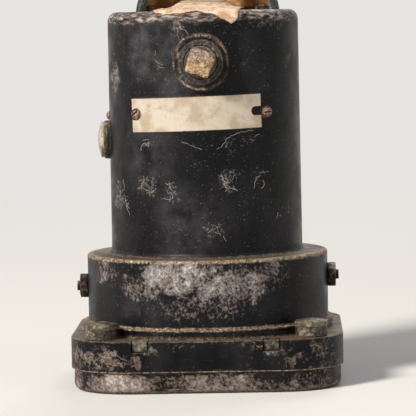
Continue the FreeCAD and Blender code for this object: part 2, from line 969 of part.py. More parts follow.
def rear_bridge():
    """Four arms from the rear bearing to the pillars."""
    arms = []
    for angle in pillar_angles[:2]:
        arm = block(
            (-pillar_circle, -pad_radius, rear_bridge_low),
            (pillar_circle, pad_radius, rear_bridge_high),
        )
        arms.append(turned(arm, angle))
    pads = [
        upright(pad_radius, rear_bridge_low, rear_bridge_high, x, y) for x, y in pillar_places()
    ]
    hub = upright(rear_bridge_hub, rear_bridge_low, rear_bridge_high)
    body = fused(arms + pads + [hub])
    return body.cut(upright(bearing_radius, rear_bridge_low - cutter_past, rear_bridge_high + cutter_past))


def bridge_screws():
    top = rear_bridge_high + bridge_screw_height
    return group([
        upright(bridge_screw_radius, rear_bridge_high, top, x, y) for x, y in pillar_places()
    ])


# Gimbal and rotor


def gimbal_frame():
    """A rectangular frame with rounded corners round the rotor."""
    outer = block(
        (-gimbal_outer_half, -gimbal_half_depth, gimbal_low),
        (gimbal_outer_half, gimbal_half_depth, gimbal_high),
    )
    inner = block(
        (-gimbal_inner_half, -gimbal_half_depth, gimbal_inner_low),
        (gimbal_inner_half, gimbal_half_depth, gimbal_inner_high),
    )
    outer = rounded_across(outer, gimbal_corner)
    inner = rounded_across(inner, gimbal_corner / 2)
    frame = outer.cut(inner)
    screws = rod(
        bearing_screw_radius, (-gimbal_outer_half, 0, rotor_z), (gimbal_outer_half, 0, rotor_z)
    )
    return frame.cut(screws)


def rounded_across(shape, radius):
    """Rounds the four edges that run along Y."""
    edges = [
        edge for edge in shape.Edges
        if edge.BoundBox.YLength > edge.BoundBox.XLength + edge.BoundBox.ZLength
    ]
    return shape.makeFillet(radius, edges)


def gimbal_pivots():
    """The long front staff and the short rear pivot."""
    front = upright(pivot_radius, crank_low, gimbal_low)
    front_collar = upright(
        pivot_collar_radius, gimbal_low - pivot_collar_height, gimbal_low
    )
    rear = upright(pivot_radius, gimbal_high, rear_bridge_high + face_gap)
    rear_collar = upright(
        pivot_collar_radius, gimbal_high, gimbal_high + pivot_collar_height
    )
    return group([front.fuse(front_collar), rear.fuse(rear_collar)])


def lever(length, low, high, angle):
    """A flat arm between two round ends, from the axis outwards along +X."""
    hub = upright(pivot_collar_radius, low, high)
    end = upright(lever_end_radius, low, high, length, 0)
    web = block((0, -lever_end_radius, low), (length, lever_end_radius, high))
    arm = fused([hub, end, web]).cut(upright(pivot_radius, low - cutter_past, high + cutter_past))
    return turned(arm, angle)


def crank_arm():
    arm = lever(crank_radius, crank_low, crank_high, -90)
    pin = upright(crank_pin_radius, fork_low - pin_past, crank_low, 0, -crank_radius)
    return arm.fuse(pin)


def damping_arm():
    arm = lever(damping_radius, arm_low, arm_high, 0)
    pin_top = dashpot_z + rod_end_thickness / 2 + pin_past
    pin = upright(damping_pin_radius, arm_high, pin_top, damping_radius, 0)
    return arm.fuse(pin)


def rotor_bearings():
    """Two screws through the frame, each with a cup for the shaft's end."""
    depth = shaft_tip + face_gap
    cup = bearing_inner + depth
    screw = rod(bearing_screw_radius, (bearing_inner, 0, rotor_z), (bearing_outer, 0, rotor_z))
    socket = rod(shaft_radius + running_gap, (bearing_inner, 0, rotor_z), (cup, 0, rotor_z))
    return group(both_sides(screw.cut(socket)))


def balance_weights():
    """Two weights on stems at the frame's ends."""
    weights = []
    for side in (-1, 1):
        z = rotor_z + side * weight_offset
        face = gimbal_outer_half
        stem = rod(weight_stem_radius, (face, 0, z), (face + weight_stem_length, 0, z))
        end = face + weight_stem_length + weight_length
        weight = rod(weight_radius, (face + weight_stem_length, 0, z), (end, 0, z))
        weights.append(stem.fuse(weight))
    return group(weights)


def rotor():
    """Heavy rim, thin web and hub, with a ring of buckets cut in the rim."""
    rim_inner = rotor_radius - rotor_rim_depth
    outline = [
        (shaft_radius, -rotor_half_width), (rotor_hub_radius, -rotor_half_width),
        (rotor_hub_radius, -rotor_web_half), (rim_inner, -rotor_web_half),
        (rim_inner, -rotor_half_width), (rotor_radius - rotor_edge, -rotor_half_width),
        (rotor_radius, -rotor_half_width + rotor_edge),
        (rotor_radius, rotor_half_width - rotor_edge), (rotor_radius - rotor_edge, rotor_half_width),
        (rim_inner, rotor_half_width), (rim_inner, rotor_web_half),
        (rotor_hub_radius, rotor_web_half), (rotor_hub_radius, rotor_half_width),
        (shaft_radius, rotor_half_width),
    ]
    wheel = lathe(outline)
    wheel = wheel.cut([bucket(360 * index / bucket_count) for index in range(bucket_count)])
    wheel = turned(wheel, 90, axis=(0, 1, 0))
    wheel.translate(FreeCAD.Vector(0, 0, rotor_z))
    return wheel


def bucket(angle):
    """A scoop with one flat wall that faces the jet and a round back."""
    low = -bucket_half_width
    high = bucket_half_width
    scoop = upright(bucket_radius, low, high, rotor_radius, 0)
    reach = 2 * bucket_radius
    keep = block((rotor_radius - reach, 0, low), (rotor_radius + reach, reach, high))
    return turned(scoop.common(keep), angle)


def rotor_shaft():
    return rod(shaft_radius, (-shaft_half, 0, rotor_z), (shaft_half, 0, rotor_z))


# Needle drive


def needle_staff():
    low = needle_low - staff_past
    high = fork_high + staff_past
    return upright(staff_radius, low, high, 0, -needle_pivot_offset)


def needle_fork():
    """A hub on the needle's staff with a slot round the crank pin."""
    y = -needle_pivot_offset
    hub = upright(fork_hub_radius, fork_low, fork_high, 0, y)
    half = fork_slot_half + fork_prong
    blade = block((-half, y, fork_low), (half, y + fork_length, fork_high))
    slot_from = -crank_radius - crank_pin_radius - pin_past
    slot = block(
        (-fork_slot_half, slot_from, fork_low - cutter_past),
        (fork_slot_half, y + fork_length + cutter_past, fork_high + cutter_past),
    )
    bore = upright(staff_radius, fork_low - cutter_past, fork_high + cutter_past, 0, y)
    return hub.fuse(blade).cut([slot, bore])


def needle_bushing():
    low = (0, -needle_pivot_offset, plate_low - bushing_overhang)
    high = (0, -needle_pivot_offset, plate_high + bushing_overhang)
    return tube(bushing_radius, staff_radius + running_gap, low, high)


def needle():
    """A flat tapered blade with a pointed end on a round hub."""
    low = needle_low
    y = -needle_pivot_offset
    tip = y + needle_length
    outline = [
        (-needle_root_half, y), (-needle_tip_half, tip - needle_point), (0, tip),
        (needle_tip_half, tip - needle_point), (needle_root_half, y),
    ]
    corners = [FreeCAD.Vector(x, along, low) for x, along in outline]
    blade = Part.Face(Part.makePolygon(corners + corners[:1])).extrude(
        FreeCAD.Vector(0, 0, needle_thickness)
    )
    hub = upright(needle_hub_radius, low, low + needle_thickness, 0, y)
    bore = upright(staff_radius, low - cutter_past, low + needle_thickness + cutter_past, 0, y)
    return blade.fuse(hub).cut(bore)


# Dashpot


def dashpot_cylinder():
    front = -dashpot_offset + dashpot_length / 2
    back = -dashpot_offset - dashpot_length / 2
    x = damping_radius
    body = rod(dashpot_radius, (x, back - dashpot_end_wall, dashpot_z), (x, front, dashpot_z))
    foot = block(
        (x - dashpot_foot_half, back, bridge_high), (x + dashpot_foot_half, front, dashpot_z)
    )
    bore = rod(dashpot_bore, (x, back, dashpot_z), (x, front + cutter_past, dashpot_z))
    vent_radius = damping_screw_radius + running_gap
    outside = back - dashpot_end_wall - cutter_past
    vent = rod(vent_radius, (x, outside, dashpot_z), (x, back + cutter_past, dashpot_z))
    return body.fuse(foot).cut([bore, vent])


def dashpot_piston():
    """Piston, rod and the slotted end round the damping pin."""
    x = damping_radius
    z = dashpot_z
    piston_front = -dashpot_offset + piston_length / 2
    piston = rod(
        dashpot_bore - 2 * running_gap, (x, piston_front - piston_length, z), (x, piston_front, z)
    )
    stem = rod(piston_rod_radius, (x, piston_front, z), (x, -rod_end_half, z))
    half = rod_end_thickness / 2
    end = block(
        (x - rod_end_inner, -rod_end_half, z - half), (x + rod_end_outer, rod_end_half, z + half)
    )
    slot = block(
        (x - rod_slot_inner, -rod_slot_half, z - half), (x + rod_slot_half, rod_slot_half, z + half)
    )
    return fused([piston, stem, end]).cut(slot)


def damping_screw():
    x = damping_radius
    inner = -dashpot_offset - dashpot_length / 2
    seat = inner - dashpot_end_wall - damping_screw_proud
    end = seat - damping_head_length
    shank = rod(damping_screw_radius, (x, inner, dashpot_z), (x, seat, dashpot_z))
    head = rod(damping_head_radius, (x, seat, dashpot_z), (x, end, dashpot_z))
    groove = block(
        (x - damping_head_radius, end, dashpot_z - screw_slot_half),
        (x + damping_head_radius, end + screw_slot_depth, dashpot_z + screw_slot_half),
    )
    return shank.fuse(head).cut(groove)


# Centring spring


def spring_bracket():
    """A bent strap between the two pillars next to the adjuster."""
    low = rotor_z - bracket_half_height
    high = rotor_z + bracket_half_height
    strap = lathe([
        (bracket_inner, low), (bracket_outer, low), (bracket_outer, high), (bracket_inner, high),
    ], 90)
    strap = turned(strap, 135)
    pillars = [upright(pillar_radius, low, high, x, y) for x, y in pillar_places()]
    reach = 2 * pillar_circle
    bore = rod(sensitivity_radius + running_gap, (-reach, 0, rotor_z), (0, 0, rotor_z))
    return strap.cut(pillars + [bore])


def centring_spring():
    """An open coil from the gimbal's bearing screw to the adjusting screw."""
    radius = spring_radius - spring_wire
    coiled = spring_length - 2 * spring_wire
    turns = round(coiled / spring_pitch)
    helix = Part.makeHelix(coiled / turns, coiled, radius)
    start = FreeCAD.Vector(radius, 0, 0)
    angles = [math.radians(60 * side) for side in range(7)]
    corners = [
        start.add(FreeCAD.Vector(spring_wire * math.cos(a), 0, spring_wire * math.sin(a))) for a in angles
    ]
    section = Part.makePolygon(corners)
    coil = Part.Wire(helix.Edges).makePipeShell([section], True, True)
    coil.translate(FreeCAD.Vector(0, 0, spring_wire))
    coil = turned(coil, -90, axis=(0, 1, 0))
    coil.translate(FreeCAD.Vector(-spring_start, 0, rotor_z))
    return coil


def sensitivity_screw():
    seat = (-sensitivity_seat, 0, rotor_z)
    shank = rod(sensitivity_radius, (-sensitivity_start, 0, rotor_z), seat)
    head = rod(sensitivity_head_radius, seat, (-sensitivity_end, 0, rotor_z))
    groove = block(
        (-sensitivity_end, -sensitivity_head_radius, rotor_z - screw_slot_half),
        (-sensitivity_end + screw_slot_depth, sensitivity_head_radius, rotor_z + screw_slot_half),
    )
    return shank.fuse(head).cut(groove)


# Dial and inclinometer


def arc_centre_y():
    return tube_arc_radius - tube_drop


def bent(radius, half_angle, z, start=None):
    """A round bar bent along the inclinometer's arc."""
    centre = FreeCAD.Vector(0, arc_centre_y(), z)
    begin = -half_angle if start is None else start
    circle = Part.Wire(
        Part.makeCircle(radius, FreeCAD.Vector(0, -tube_drop, z), FreeCAD.Vector(1, 0, 0))
    )
    face = turned(Part.Face(circle), begin, centre=(0, arc_centre_y(), z))
    return face.revolve(centre, FreeCAD.Vector(0, 0, 1), half_angle - begin)


def inclinometer_tube():
    bar = bent(tube_radius, tube_half_angle, tube_z)
    return bar.cut(bent(tube_bore, tube_half_angle, tube_z))


def inclinometer_ball():
    return Part.makeSphere(ball_radius, FreeCAD.Vector(0, -tube_drop, tube_z))


def inclinometer_clips():
    """Caps on the tube's ends, each with a foot on the mechanism plate."""
    clips = []
    overlap = math.degrees(clip_overlap / tube_arc_radius)
    wall = math.degrees(clip_wall / tube_arc_radius)
    for side in (-1, 1):
        begin = tube_half_angle - overlap
        end = tube_half_angle + wall
        cap = bent(tube_radius + clip_wall, end, tube_z, begin)
        hollow = bent(tube_radius + seat_gap, tube_half_angle, tube_z, begin - overlap)
        middle = math.radians(begin + end) / 2
        x = tube_arc_radius * math.sin(middle)
        y = arc_centre_y() - tube_arc_radius * math.cos(middle)
        foot = block(
            (x - clip_foot_half_x, y - clip_foot_half_y, tube_z + tube_radius),
            (x + clip_foot_half_x, y + clip_foot_half_y, plate_low),
        )
        clip = fused([cap, foot]).cut(hollow)
        if side < 0:
            clip = clip.mirror(FreeCAD.Vector(), FreeCAD.Vector(1, 0, 0))
        clips.append(clip)
    return group(clips)


def reference_wires():
    """Two flat bands round the tube, one on each side of the ball."""
    half = wire_width / 2
    bore = tube_radius + seat_gap
    band = tube(
        bore + wire_thickness, bore, (-half, -tube_drop, tube_z), (half, -tube_drop, tube_z)
    )
    centre = (0, arc_centre_y(), 0)
    return group([turned(band, side * wire_angle, centre=centre) for side in (-1, 1)])


def dial():
    disc = upright(dial_radius, dial_low, dial_high)
    inner = tube_arc_radius - dial_window_half
    outer = tube_arc_radius + dial_window_half
    under = dial_low - cutter_past
    over = dial_high + cutter_past
    window = lathe(
        [(inner, under), (outer, under), (outer, over), (inner, over)],
        2 * tube_half_angle,
    )
    window = turned(window, -90 - tube_half_angle)
    window.translate(FreeCAD.Vector(0, arc_centre_y(), 0))
    openings = [window, upright(staff_hole_radius, dial_low, dial_high, 0, -needle_pivot_offset)]
    openings += [
        upright(dial_screw_radius / 2 + seat_gap, dial_low, dial_high, side * dial_post_spread, 0)
        for side in (-1, 1)
    ]
    return disc.cut(openings)


def dial_screws():
    screws = []
    for side in (-1, 1):
        x = side * dial_post_spread
        head = upright(dial_screw_radius, dial_low - dial_screw_height, dial_low, x, 0)
        screws.append(head.fuse(upright(dial_screw_radius / 2, dial_low, dial_high, x, 0)))
    return group(screws)


def dial_posts():
    return group([
        upright(dial_post_radius, dial_high, plate_low, side * dial_post_spread, 0)
        for side in (-1, 1)
    ])


pieces = [
    case_body, bezel, bezel_gasket, glass_seal, cover_glass, glass_retainer, bezel_screws,
    bezel_nuts, mounting_collars, mounting_nuts, side_studs, side_nuts, port_bushing, pipe_plug,
    nameplate, nameplate_screws, adjuster_cap, adjuster_cap_washer, cap_lock_screw,
    suction_nipple, paper_seal, intake_hood, hood_screws, intake_screen, jet_tube,
    mechanism_plate, front_bridge, front_bearing, rear_bearing, cage_pillars, rear_bridge,
    bridge_screws, gimbal_frame, gimbal_pivots, crank_arm, damping_arm, rotor_bearings,
    balance_weights, rotor, rotor_shaft, needle_staff, needle_fork, needle_bushing, needle,
    dashpot_cylinder, dashpot_piston, damping_screw, spring_bracket, centring_spring,
    sensitivity_screw, dial, dial_screws, dial_posts, inclinometer_tube, inclinometer_ball,
    inclinometer_clips, reference_wires,
]

for make in pieces:
    save(make.__name__, make())
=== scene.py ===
import math
import random
import bmesh
import bpy
from mathutils import Matrix, Vector, noise
from mathutils.bvhtree import BVHTree


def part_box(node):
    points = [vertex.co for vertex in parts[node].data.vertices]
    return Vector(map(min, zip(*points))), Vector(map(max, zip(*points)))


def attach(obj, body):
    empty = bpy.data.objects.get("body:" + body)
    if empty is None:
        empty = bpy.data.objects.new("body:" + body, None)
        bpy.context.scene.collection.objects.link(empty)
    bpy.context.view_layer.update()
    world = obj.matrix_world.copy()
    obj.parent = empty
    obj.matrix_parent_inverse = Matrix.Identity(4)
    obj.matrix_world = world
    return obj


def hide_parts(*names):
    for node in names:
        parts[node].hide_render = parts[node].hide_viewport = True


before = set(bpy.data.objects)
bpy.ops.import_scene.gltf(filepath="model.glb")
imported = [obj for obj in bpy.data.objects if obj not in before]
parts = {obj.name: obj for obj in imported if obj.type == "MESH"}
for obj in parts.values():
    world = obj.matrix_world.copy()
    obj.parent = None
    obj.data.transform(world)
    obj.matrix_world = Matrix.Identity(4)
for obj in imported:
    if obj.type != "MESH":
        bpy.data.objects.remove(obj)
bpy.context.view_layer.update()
mm = 0.001
bpy.context.scene.view_settings.view_transform = "Standard"
print("stage: frame loaded,", len(parts), "CAD nodes")


def toLinear(hexValue):
    shares = [int(hexValue[i:i + 2], 16) / 255 for i in (1, 3, 5)]
    return tuple(s / 12.92 if s <= 0.04045 else ((s + 0.055) / 1.055) ** 2.4 for s in shares) + (1.0,)

def addNode(tree, kind, settings={}, inputs={}):
    # a node's family is looked up, and a node or Value as an input is linked by its first output
    families = ("ShaderNode", "GeometryNode", "FunctionNode", "Node")
    node = tree.nodes.new(next(family + kind for family in families if hasattr(bpy.types, family + kind)))
    for name, value in settings.items():
        setattr(node, name, value)
    feed(tree, node, inputs)
    return node


def feed(tree, node, inputs):
    for name, value in inputs.items():
        value = getattr(value, "socket", value)
        value = value.outputs[0] if isinstance(value, bpy.types.Node) else value
        if isinstance(value, bpy.types.NodeSocket):
            tree.links.new(value, node.inputs[name])
        else:
            node.inputs[name].default_value = value


def linkObject(name, data):
    made = bpy.data.objects.new(name, data)
    bpy.context.collection.objects.link(made)
    return made


def meshOf(name, points, faces, unit=mm):
    mesh = bpy.data.meshes.new(name)
    mesh.from_pydata([tuple(c * unit for c in point) for point in points], [], faces)
    mesh.shade_smooth()
    return mesh


# Camera, at the photograph's own viewpoint: level with the rear face, a little to the right
cameraPlace = {
    "azimuth": 1.6, "distance": 860, "height": 113, "pitchDown": 4.05,
    "aimRight": 0.031, "leanClockwise": 1.163, "focalPixels": 2791, "framePixels": 416, "sensor": 36,
}


def placeCamera(place):
    turn = math.radians(place["azimuth"])
    spot = Vector((math.sin(turn) * place["distance"], -math.cos(turn) * place["distance"], place["height"])) * mm
    heading = turn - math.radians(place["aimRight"])
    down = math.radians(place["pitchDown"])
    ahead = Vector((-math.sin(heading) * math.cos(down), math.cos(heading) * math.cos(down), -math.sin(down)))
    right = ahead.cross(Vector((0, 0, 1))).normalized()
    above = right.cross(ahead)
    lean = math.radians(place["leanClockwise"])
    sideways = right * math.cos(lean) - above * math.sin(lean)
    upward = above * math.cos(lean) + right * math.sin(lean)
    data = bpy.data.cameras.new("photographCamera")
    data.sensor_width = place["sensor"]
    data.lens = place["focalPixels"] * place["sensor"] / place["framePixels"]
    data.clip_start = 0.05
    data.clip_end = 40
    camera = linkObject("photographCamera", data)
    stance = Matrix((sideways, upward, -ahead)).transposed().to_4x4()
    stance.translation = spot
    camera.matrix_world = stance
    bpy.context.scene.camera = camera


placeCamera(cameraPlace)

# Studio: a round pale table that curves up into the backdrop, one soft key lamp and two weak ones
studio = {
    "tableColour": "#e4e2de", "backdropColour": "#efedea", "tableRadius": 2.6, "sweepRadius": 1.6,
    "fillColour": "#f2f2f4", "fillStrength": 0.23, "paleFrom": 0.22, "paleTo": 1.3,  # metres from the object
    "sides": 96, "sweepSteps": 12, "low": -0.0002, "aim": (0, 0, 0.06),
    "lamps": [
        {"name": "keyLamp", "at": (-0.95, -1.15, 0.95), "size": 0.4, "power": 34, "colour": "#fffaf3"},
        {"name": "fillLamp", "at": (1.25, -0.95, 0.7), "size": 0.8, "power": 1.8, "colour": "#eef3ff"},
        {"name": "rimLamp", "at": (0.3, 1.2, 1.2), "size": 0.8, "power": 12, "colour": "#ffffff"},
    ],
}


def seenDirectly(tree):
    # 1 for what the camera sees itself, in metal or through glass, 0 for light on the object
    rays = addNode(tree, "LightPath").outputs
    seen = addNode(tree, "Math", {"operation": "MAXIMUM"}, {0: rays["Is Camera Ray"], 1: rays["Is Glossy Ray"]})
    return addNode(tree, "Math", {"operation": "MAXIMUM"}, {0: seen, 1: rays["Is Transmission Ray"]})


def paintTable(spec):
    # matte painted board: keeps the shadow near the object and turns into pale backdrop further off
    material = bpy.data.materials.new("matte painted board")
    material.use_nodes = True
    tree = material.node_tree
    tree.nodes.clear()
    board = addNode(tree, "BsdfDiffuse", {}, {"Color": toLinear(spec["tableColour"]), "Roughness": 0.4})
    glow = addNode(tree, "Emission", {}, {"Color": toLinear(spec["backdropColour"]), "Strength": 0.92})
    place = addNode(tree, "TexCoord").outputs["Object"]
    away = addNode(tree, "VectorMath", {"operation": "LENGTH"}, {0: place}).outputs["Value"]
    far = addNode(tree, "MapRange", {"interpolation_type": "SMOOTHSTEP"}, {
        "Value": away, "From Min": spec["paleFrom"], "From Max": spec["paleTo"]})
    share = addNode(tree, "Math", {"operation": "MULTIPLY"}, {0: far, 1: seenDirectly(tree)})
    mixed = addNode(tree, "MixShader", {}, {0: share, 1: board, 2: glow})
    addNode(tree, "OutputMaterial", {}, {"Surface": mixed})
    return material


def buildStudio(spec):
    world = bpy.data.worlds.new("paleStudio")
    bpy.context.scene.world = world
    world.use_nodes = True
    tree = world.node_tree
    tree.nodes.clear()
    fill = addNode(tree, "Background", {}, {
        "Color": toLinear(spec["fillColour"]), "Strength": spec["fillStrength"]})
    pale = addNode(tree, "Background", {}, {"Color": toLinear(spec["backdropColour"]), "Strength": 0.9})
    mixed = addNode(tree, "MixShader", {}, {0: seenDirectly(tree), 1: fill, 2: pale})
    addNode(tree, "OutputWorld", {}, {"Surface": mixed})
    # the table's outline is turned about the object, so every side sees the same backdrop
    outline = [(radius, spec["low"]) for radius in (0.3, 1.0, spec["tableRadius"])]
    for step in range(1, spec["sweepSteps"] + 1):
        rise = math.radians(90) * step / spec["sweepSteps"]
        outline.append((spec["tableRadius"] + spec["sweepRadius"] * math.sin(rise),
                        spec["sweepRadius"] * (1 - math.cos(rise))))
    sides = spec["sides"]
    turns = [2 * math.pi * side / sides for side in range(sides)]
    points = [(0, 0, spec["low"])]
    for radius, height in outline:
        points += [(radius * math.cos(turn), radius * math.sin(turn), height) for turn in turns]
    faces = []
    for side in range(sides):
        following = (side + 1) % sides
        faces.append((0, 1 + side, 1 + following))
        for start in range(1, 1 + (len(outline) - 1) * sides, sides):
            faces.append((start + side, start + sides + side, start + sides + following, start + following))
    table = linkObject("paleTable", meshOf("paleTable", points, faces, 1))
    table.data.materials.append(paintTable(spec))
    for lamp in spec["lamps"]:
        data = bpy.data.lights.new(lamp["name"], "AREA")
        data.shape = "DISK"
        data.size = lamp["size"]
        data.energy = lamp["power"]
        data.color = toLinear(lamp["colour"])[:3]
        holder = linkObject(lamp["name"], data)
        holder.location = lamp["at"]
        holder.rotation_euler = (Vector(spec["aim"]) - Vector(lamp["at"])).to_track_quat("-Z", "Y").to_euler()


buildStudio(studio)
print("stage: camera, table and lamps placed")


class Value:
    # what flows through a tree: + - * and abs() do sums on it, and | keeps the greater of two
    def __init__(self, tree, socket):
        self.tree, self.socket = tree, socket

    def math(self, operation, other=0.0):
        return Value(self.tree, addNode(self.tree, "Math", {"operation": operation}, {0: self, 1: other}))

    def __add__(self, other):
        return self.math("ADD", other)

    def __sub__(self, other):
        return self.math("SUBTRACT", other)

    def __mul__(self, other):
        return self.math("MULTIPLY", other)

    def __or__(self, other):
        return self.math("MAXIMUM", other)

    def __abs__(self):
        return self.math("ABSOLUTE")

    def spread(self, low, high, start=0.0, end=1.0):
        # low..high becomes start..end, with soft ends
        return Value(self.tree, addNode(self.tree, "MapRange", {"interpolation_type": "SMOOTHSTEP"}, {
            "Value": self, "From Min": low, "From Max": high, "To Min": start, "To Max": end}))

    def tones(self, stops):
        # a colour for each value, from (position, hex) stops
        ramp = addNode(self.tree, "ValToRGB", {}, {0: self})
        elements = ramp.color_ramp.elements
        while len(elements) < len(stops):
            elements.new(0.5)
        for element, (position, hexValue) in zip(elements, stops):
            element.position = position
            element.color = toLinear(hexValue)
        return Value(self.tree, ramp)

    def coat(self, mask, top, blend="MIX"):
        # another colour laid over this one where the mask is 1
        top = toLinear(top) if isinstance(top, str) else top
        mixed = addNode(self.tree, "Mix", {"data_type": "RGBA", "blend_type": blend}, {0: mask, 6: self, 7: top})
        return Value(self.tree, mixed.outputs[2])


class Finish:
    # a material with the features that several finishes share, sizes in real millimetres on the surface
    def __init__(self, name):
        self.material = bpy.data.materials.new(name)
        self.material.use_nodes = True
        self.tree = self.material.node_tree
        self.tree.nodes.clear()
        self.shader = addNode(self.tree, "BsdfPrincipled")
        addNode(self.tree, "OutputMaterial", {}, {"Surface": self.shader})
        coordinates = addNode(self.tree, "TexCoord").outputs
        self.place, self.facing = coordinates["Object"], coordinates["Normal"]

    def plain(self, hexValue):
        return Value(self.tree, toLinear(hexValue))

    def split(self, place):
        return [Value(self.tree, axis) for axis in addNode(self.tree, "SeparateXYZ", {}, {0: place}).outputs]

    def distance(self, place, centre=(0, 0, 0), scale=(1, 1, 1)):
        offset = addNode(self.tree, "VectorMath", {"operation": "MULTIPLY_ADD"}, {
            0: place, 1: scale, 2: tuple(-c * s * mm for c, s in zip(centre, scale))})
        away = addNode(self.tree, "VectorMath", {"operation": "LENGTH"}, {0: offset})
        return Value(self.tree, away.outputs["Value"])

    def mottle(self, size, low, high, detail=4.0, rough=0.6, seed=0.0, stretch=(1, 1, 1), place=None):
        # blotches about `size` across, spread so that low..high becomes 0..1
        turned = addNode(self.tree, "Mapping", {"vector_type": "POINT"}, {
            "Vector": self.place if place is None else place, "Location": (seed, seed * 0.7, seed * 0.3),
            "Scale": tuple(s / (size * mm) for s in stretch)})
        grain = addNode(self.tree, "TexNoise", {}, {
            "Vector": turned, "Scale": 1.0, "Detail": detail, "Roughness": rough})
        return Value(self.tree, grain).spread(low, high)

    def wander(self, size, amount):
        # the coordinates pushed about by `amount`, so that edges of patches are ragged
        grain = addNode(self.tree, "TexNoise", {}, {
            "Vector": self.place, "Scale": 1 / (size * mm), "Detail": 3.0}).outputs["Color"]
        centred = addNode(self.tree, "VectorMath", {"operation": "SUBTRACT"}, {0: grain, 1: (0.5,) * 3})
        return addNode(self.tree, "VectorMath", {"operation": "MULTIPLY_ADD"}, {
            0: centred, 1: (amount * mm * 2,) * 3, 2: self.place})

    def cavity(self, reach, low, high, inside=False):
        # 1 in corners (or on edges, when inside) narrower than reach, 0 on open faces
        shade = addNode(self.tree, "AmbientOcclusion", {"samples": 8, "inside": inside, "only_local": False},
                        {"Distance": reach * mm})
        return Value(self.tree, shade.outputs["AO"]).spread(high, low)

    def patches(self, place, listed):
        # ellipsoid regions that fade at their edges: centre, reach and strength
        total = None
        for centre, reach, strength in listed:
            away = self.distance(place, centre, tuple(1 / (r * mm) for r in reach))
            found = away.spread(1.0, 0.35, 0.0, strength)
            total = found if total is None else total | found
        return total

    def rims(self, place, listed):
        # bands round the axis outside a radius: height, half height, radius and strength
        height = self.split(place)[2]
        away = self.distance(place, scale=(1, 1, 0))
        total = None
        for middle, half, radius, strength in listed:
            band = abs(height - middle * mm).spread(half * mm, half * 0.3 * mm, 0.0, strength)
            band = band * away.spread((radius - 0.6) * mm, radius * mm)
            total = band if total is None else total | band
        return total

    def coats(self, colour, listed):
        # flecks and stains: mottle, strength and colour
        for blotches, strength, top in listed:
            colour = colour.coat(self.mottle(*blotches) * strength, top)
        return colour

    def dress(self, colour, roughness, height, depth, strength, metallic=0.0):
        bump = addNode(self.tree, "Bump", {}, {"Height": height, "Distance": depth * mm, "Strength": strength})
        feed(self.tree, self.shader, {
            "Base Color": colour, "Roughness": roughness, "Metallic": metallic, "Normal": bump})
        return self.material


bushingLow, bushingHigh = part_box("port_bushing")
portHeight = (bushingLow[2] + bushingHigh[2]) / 2 / mm

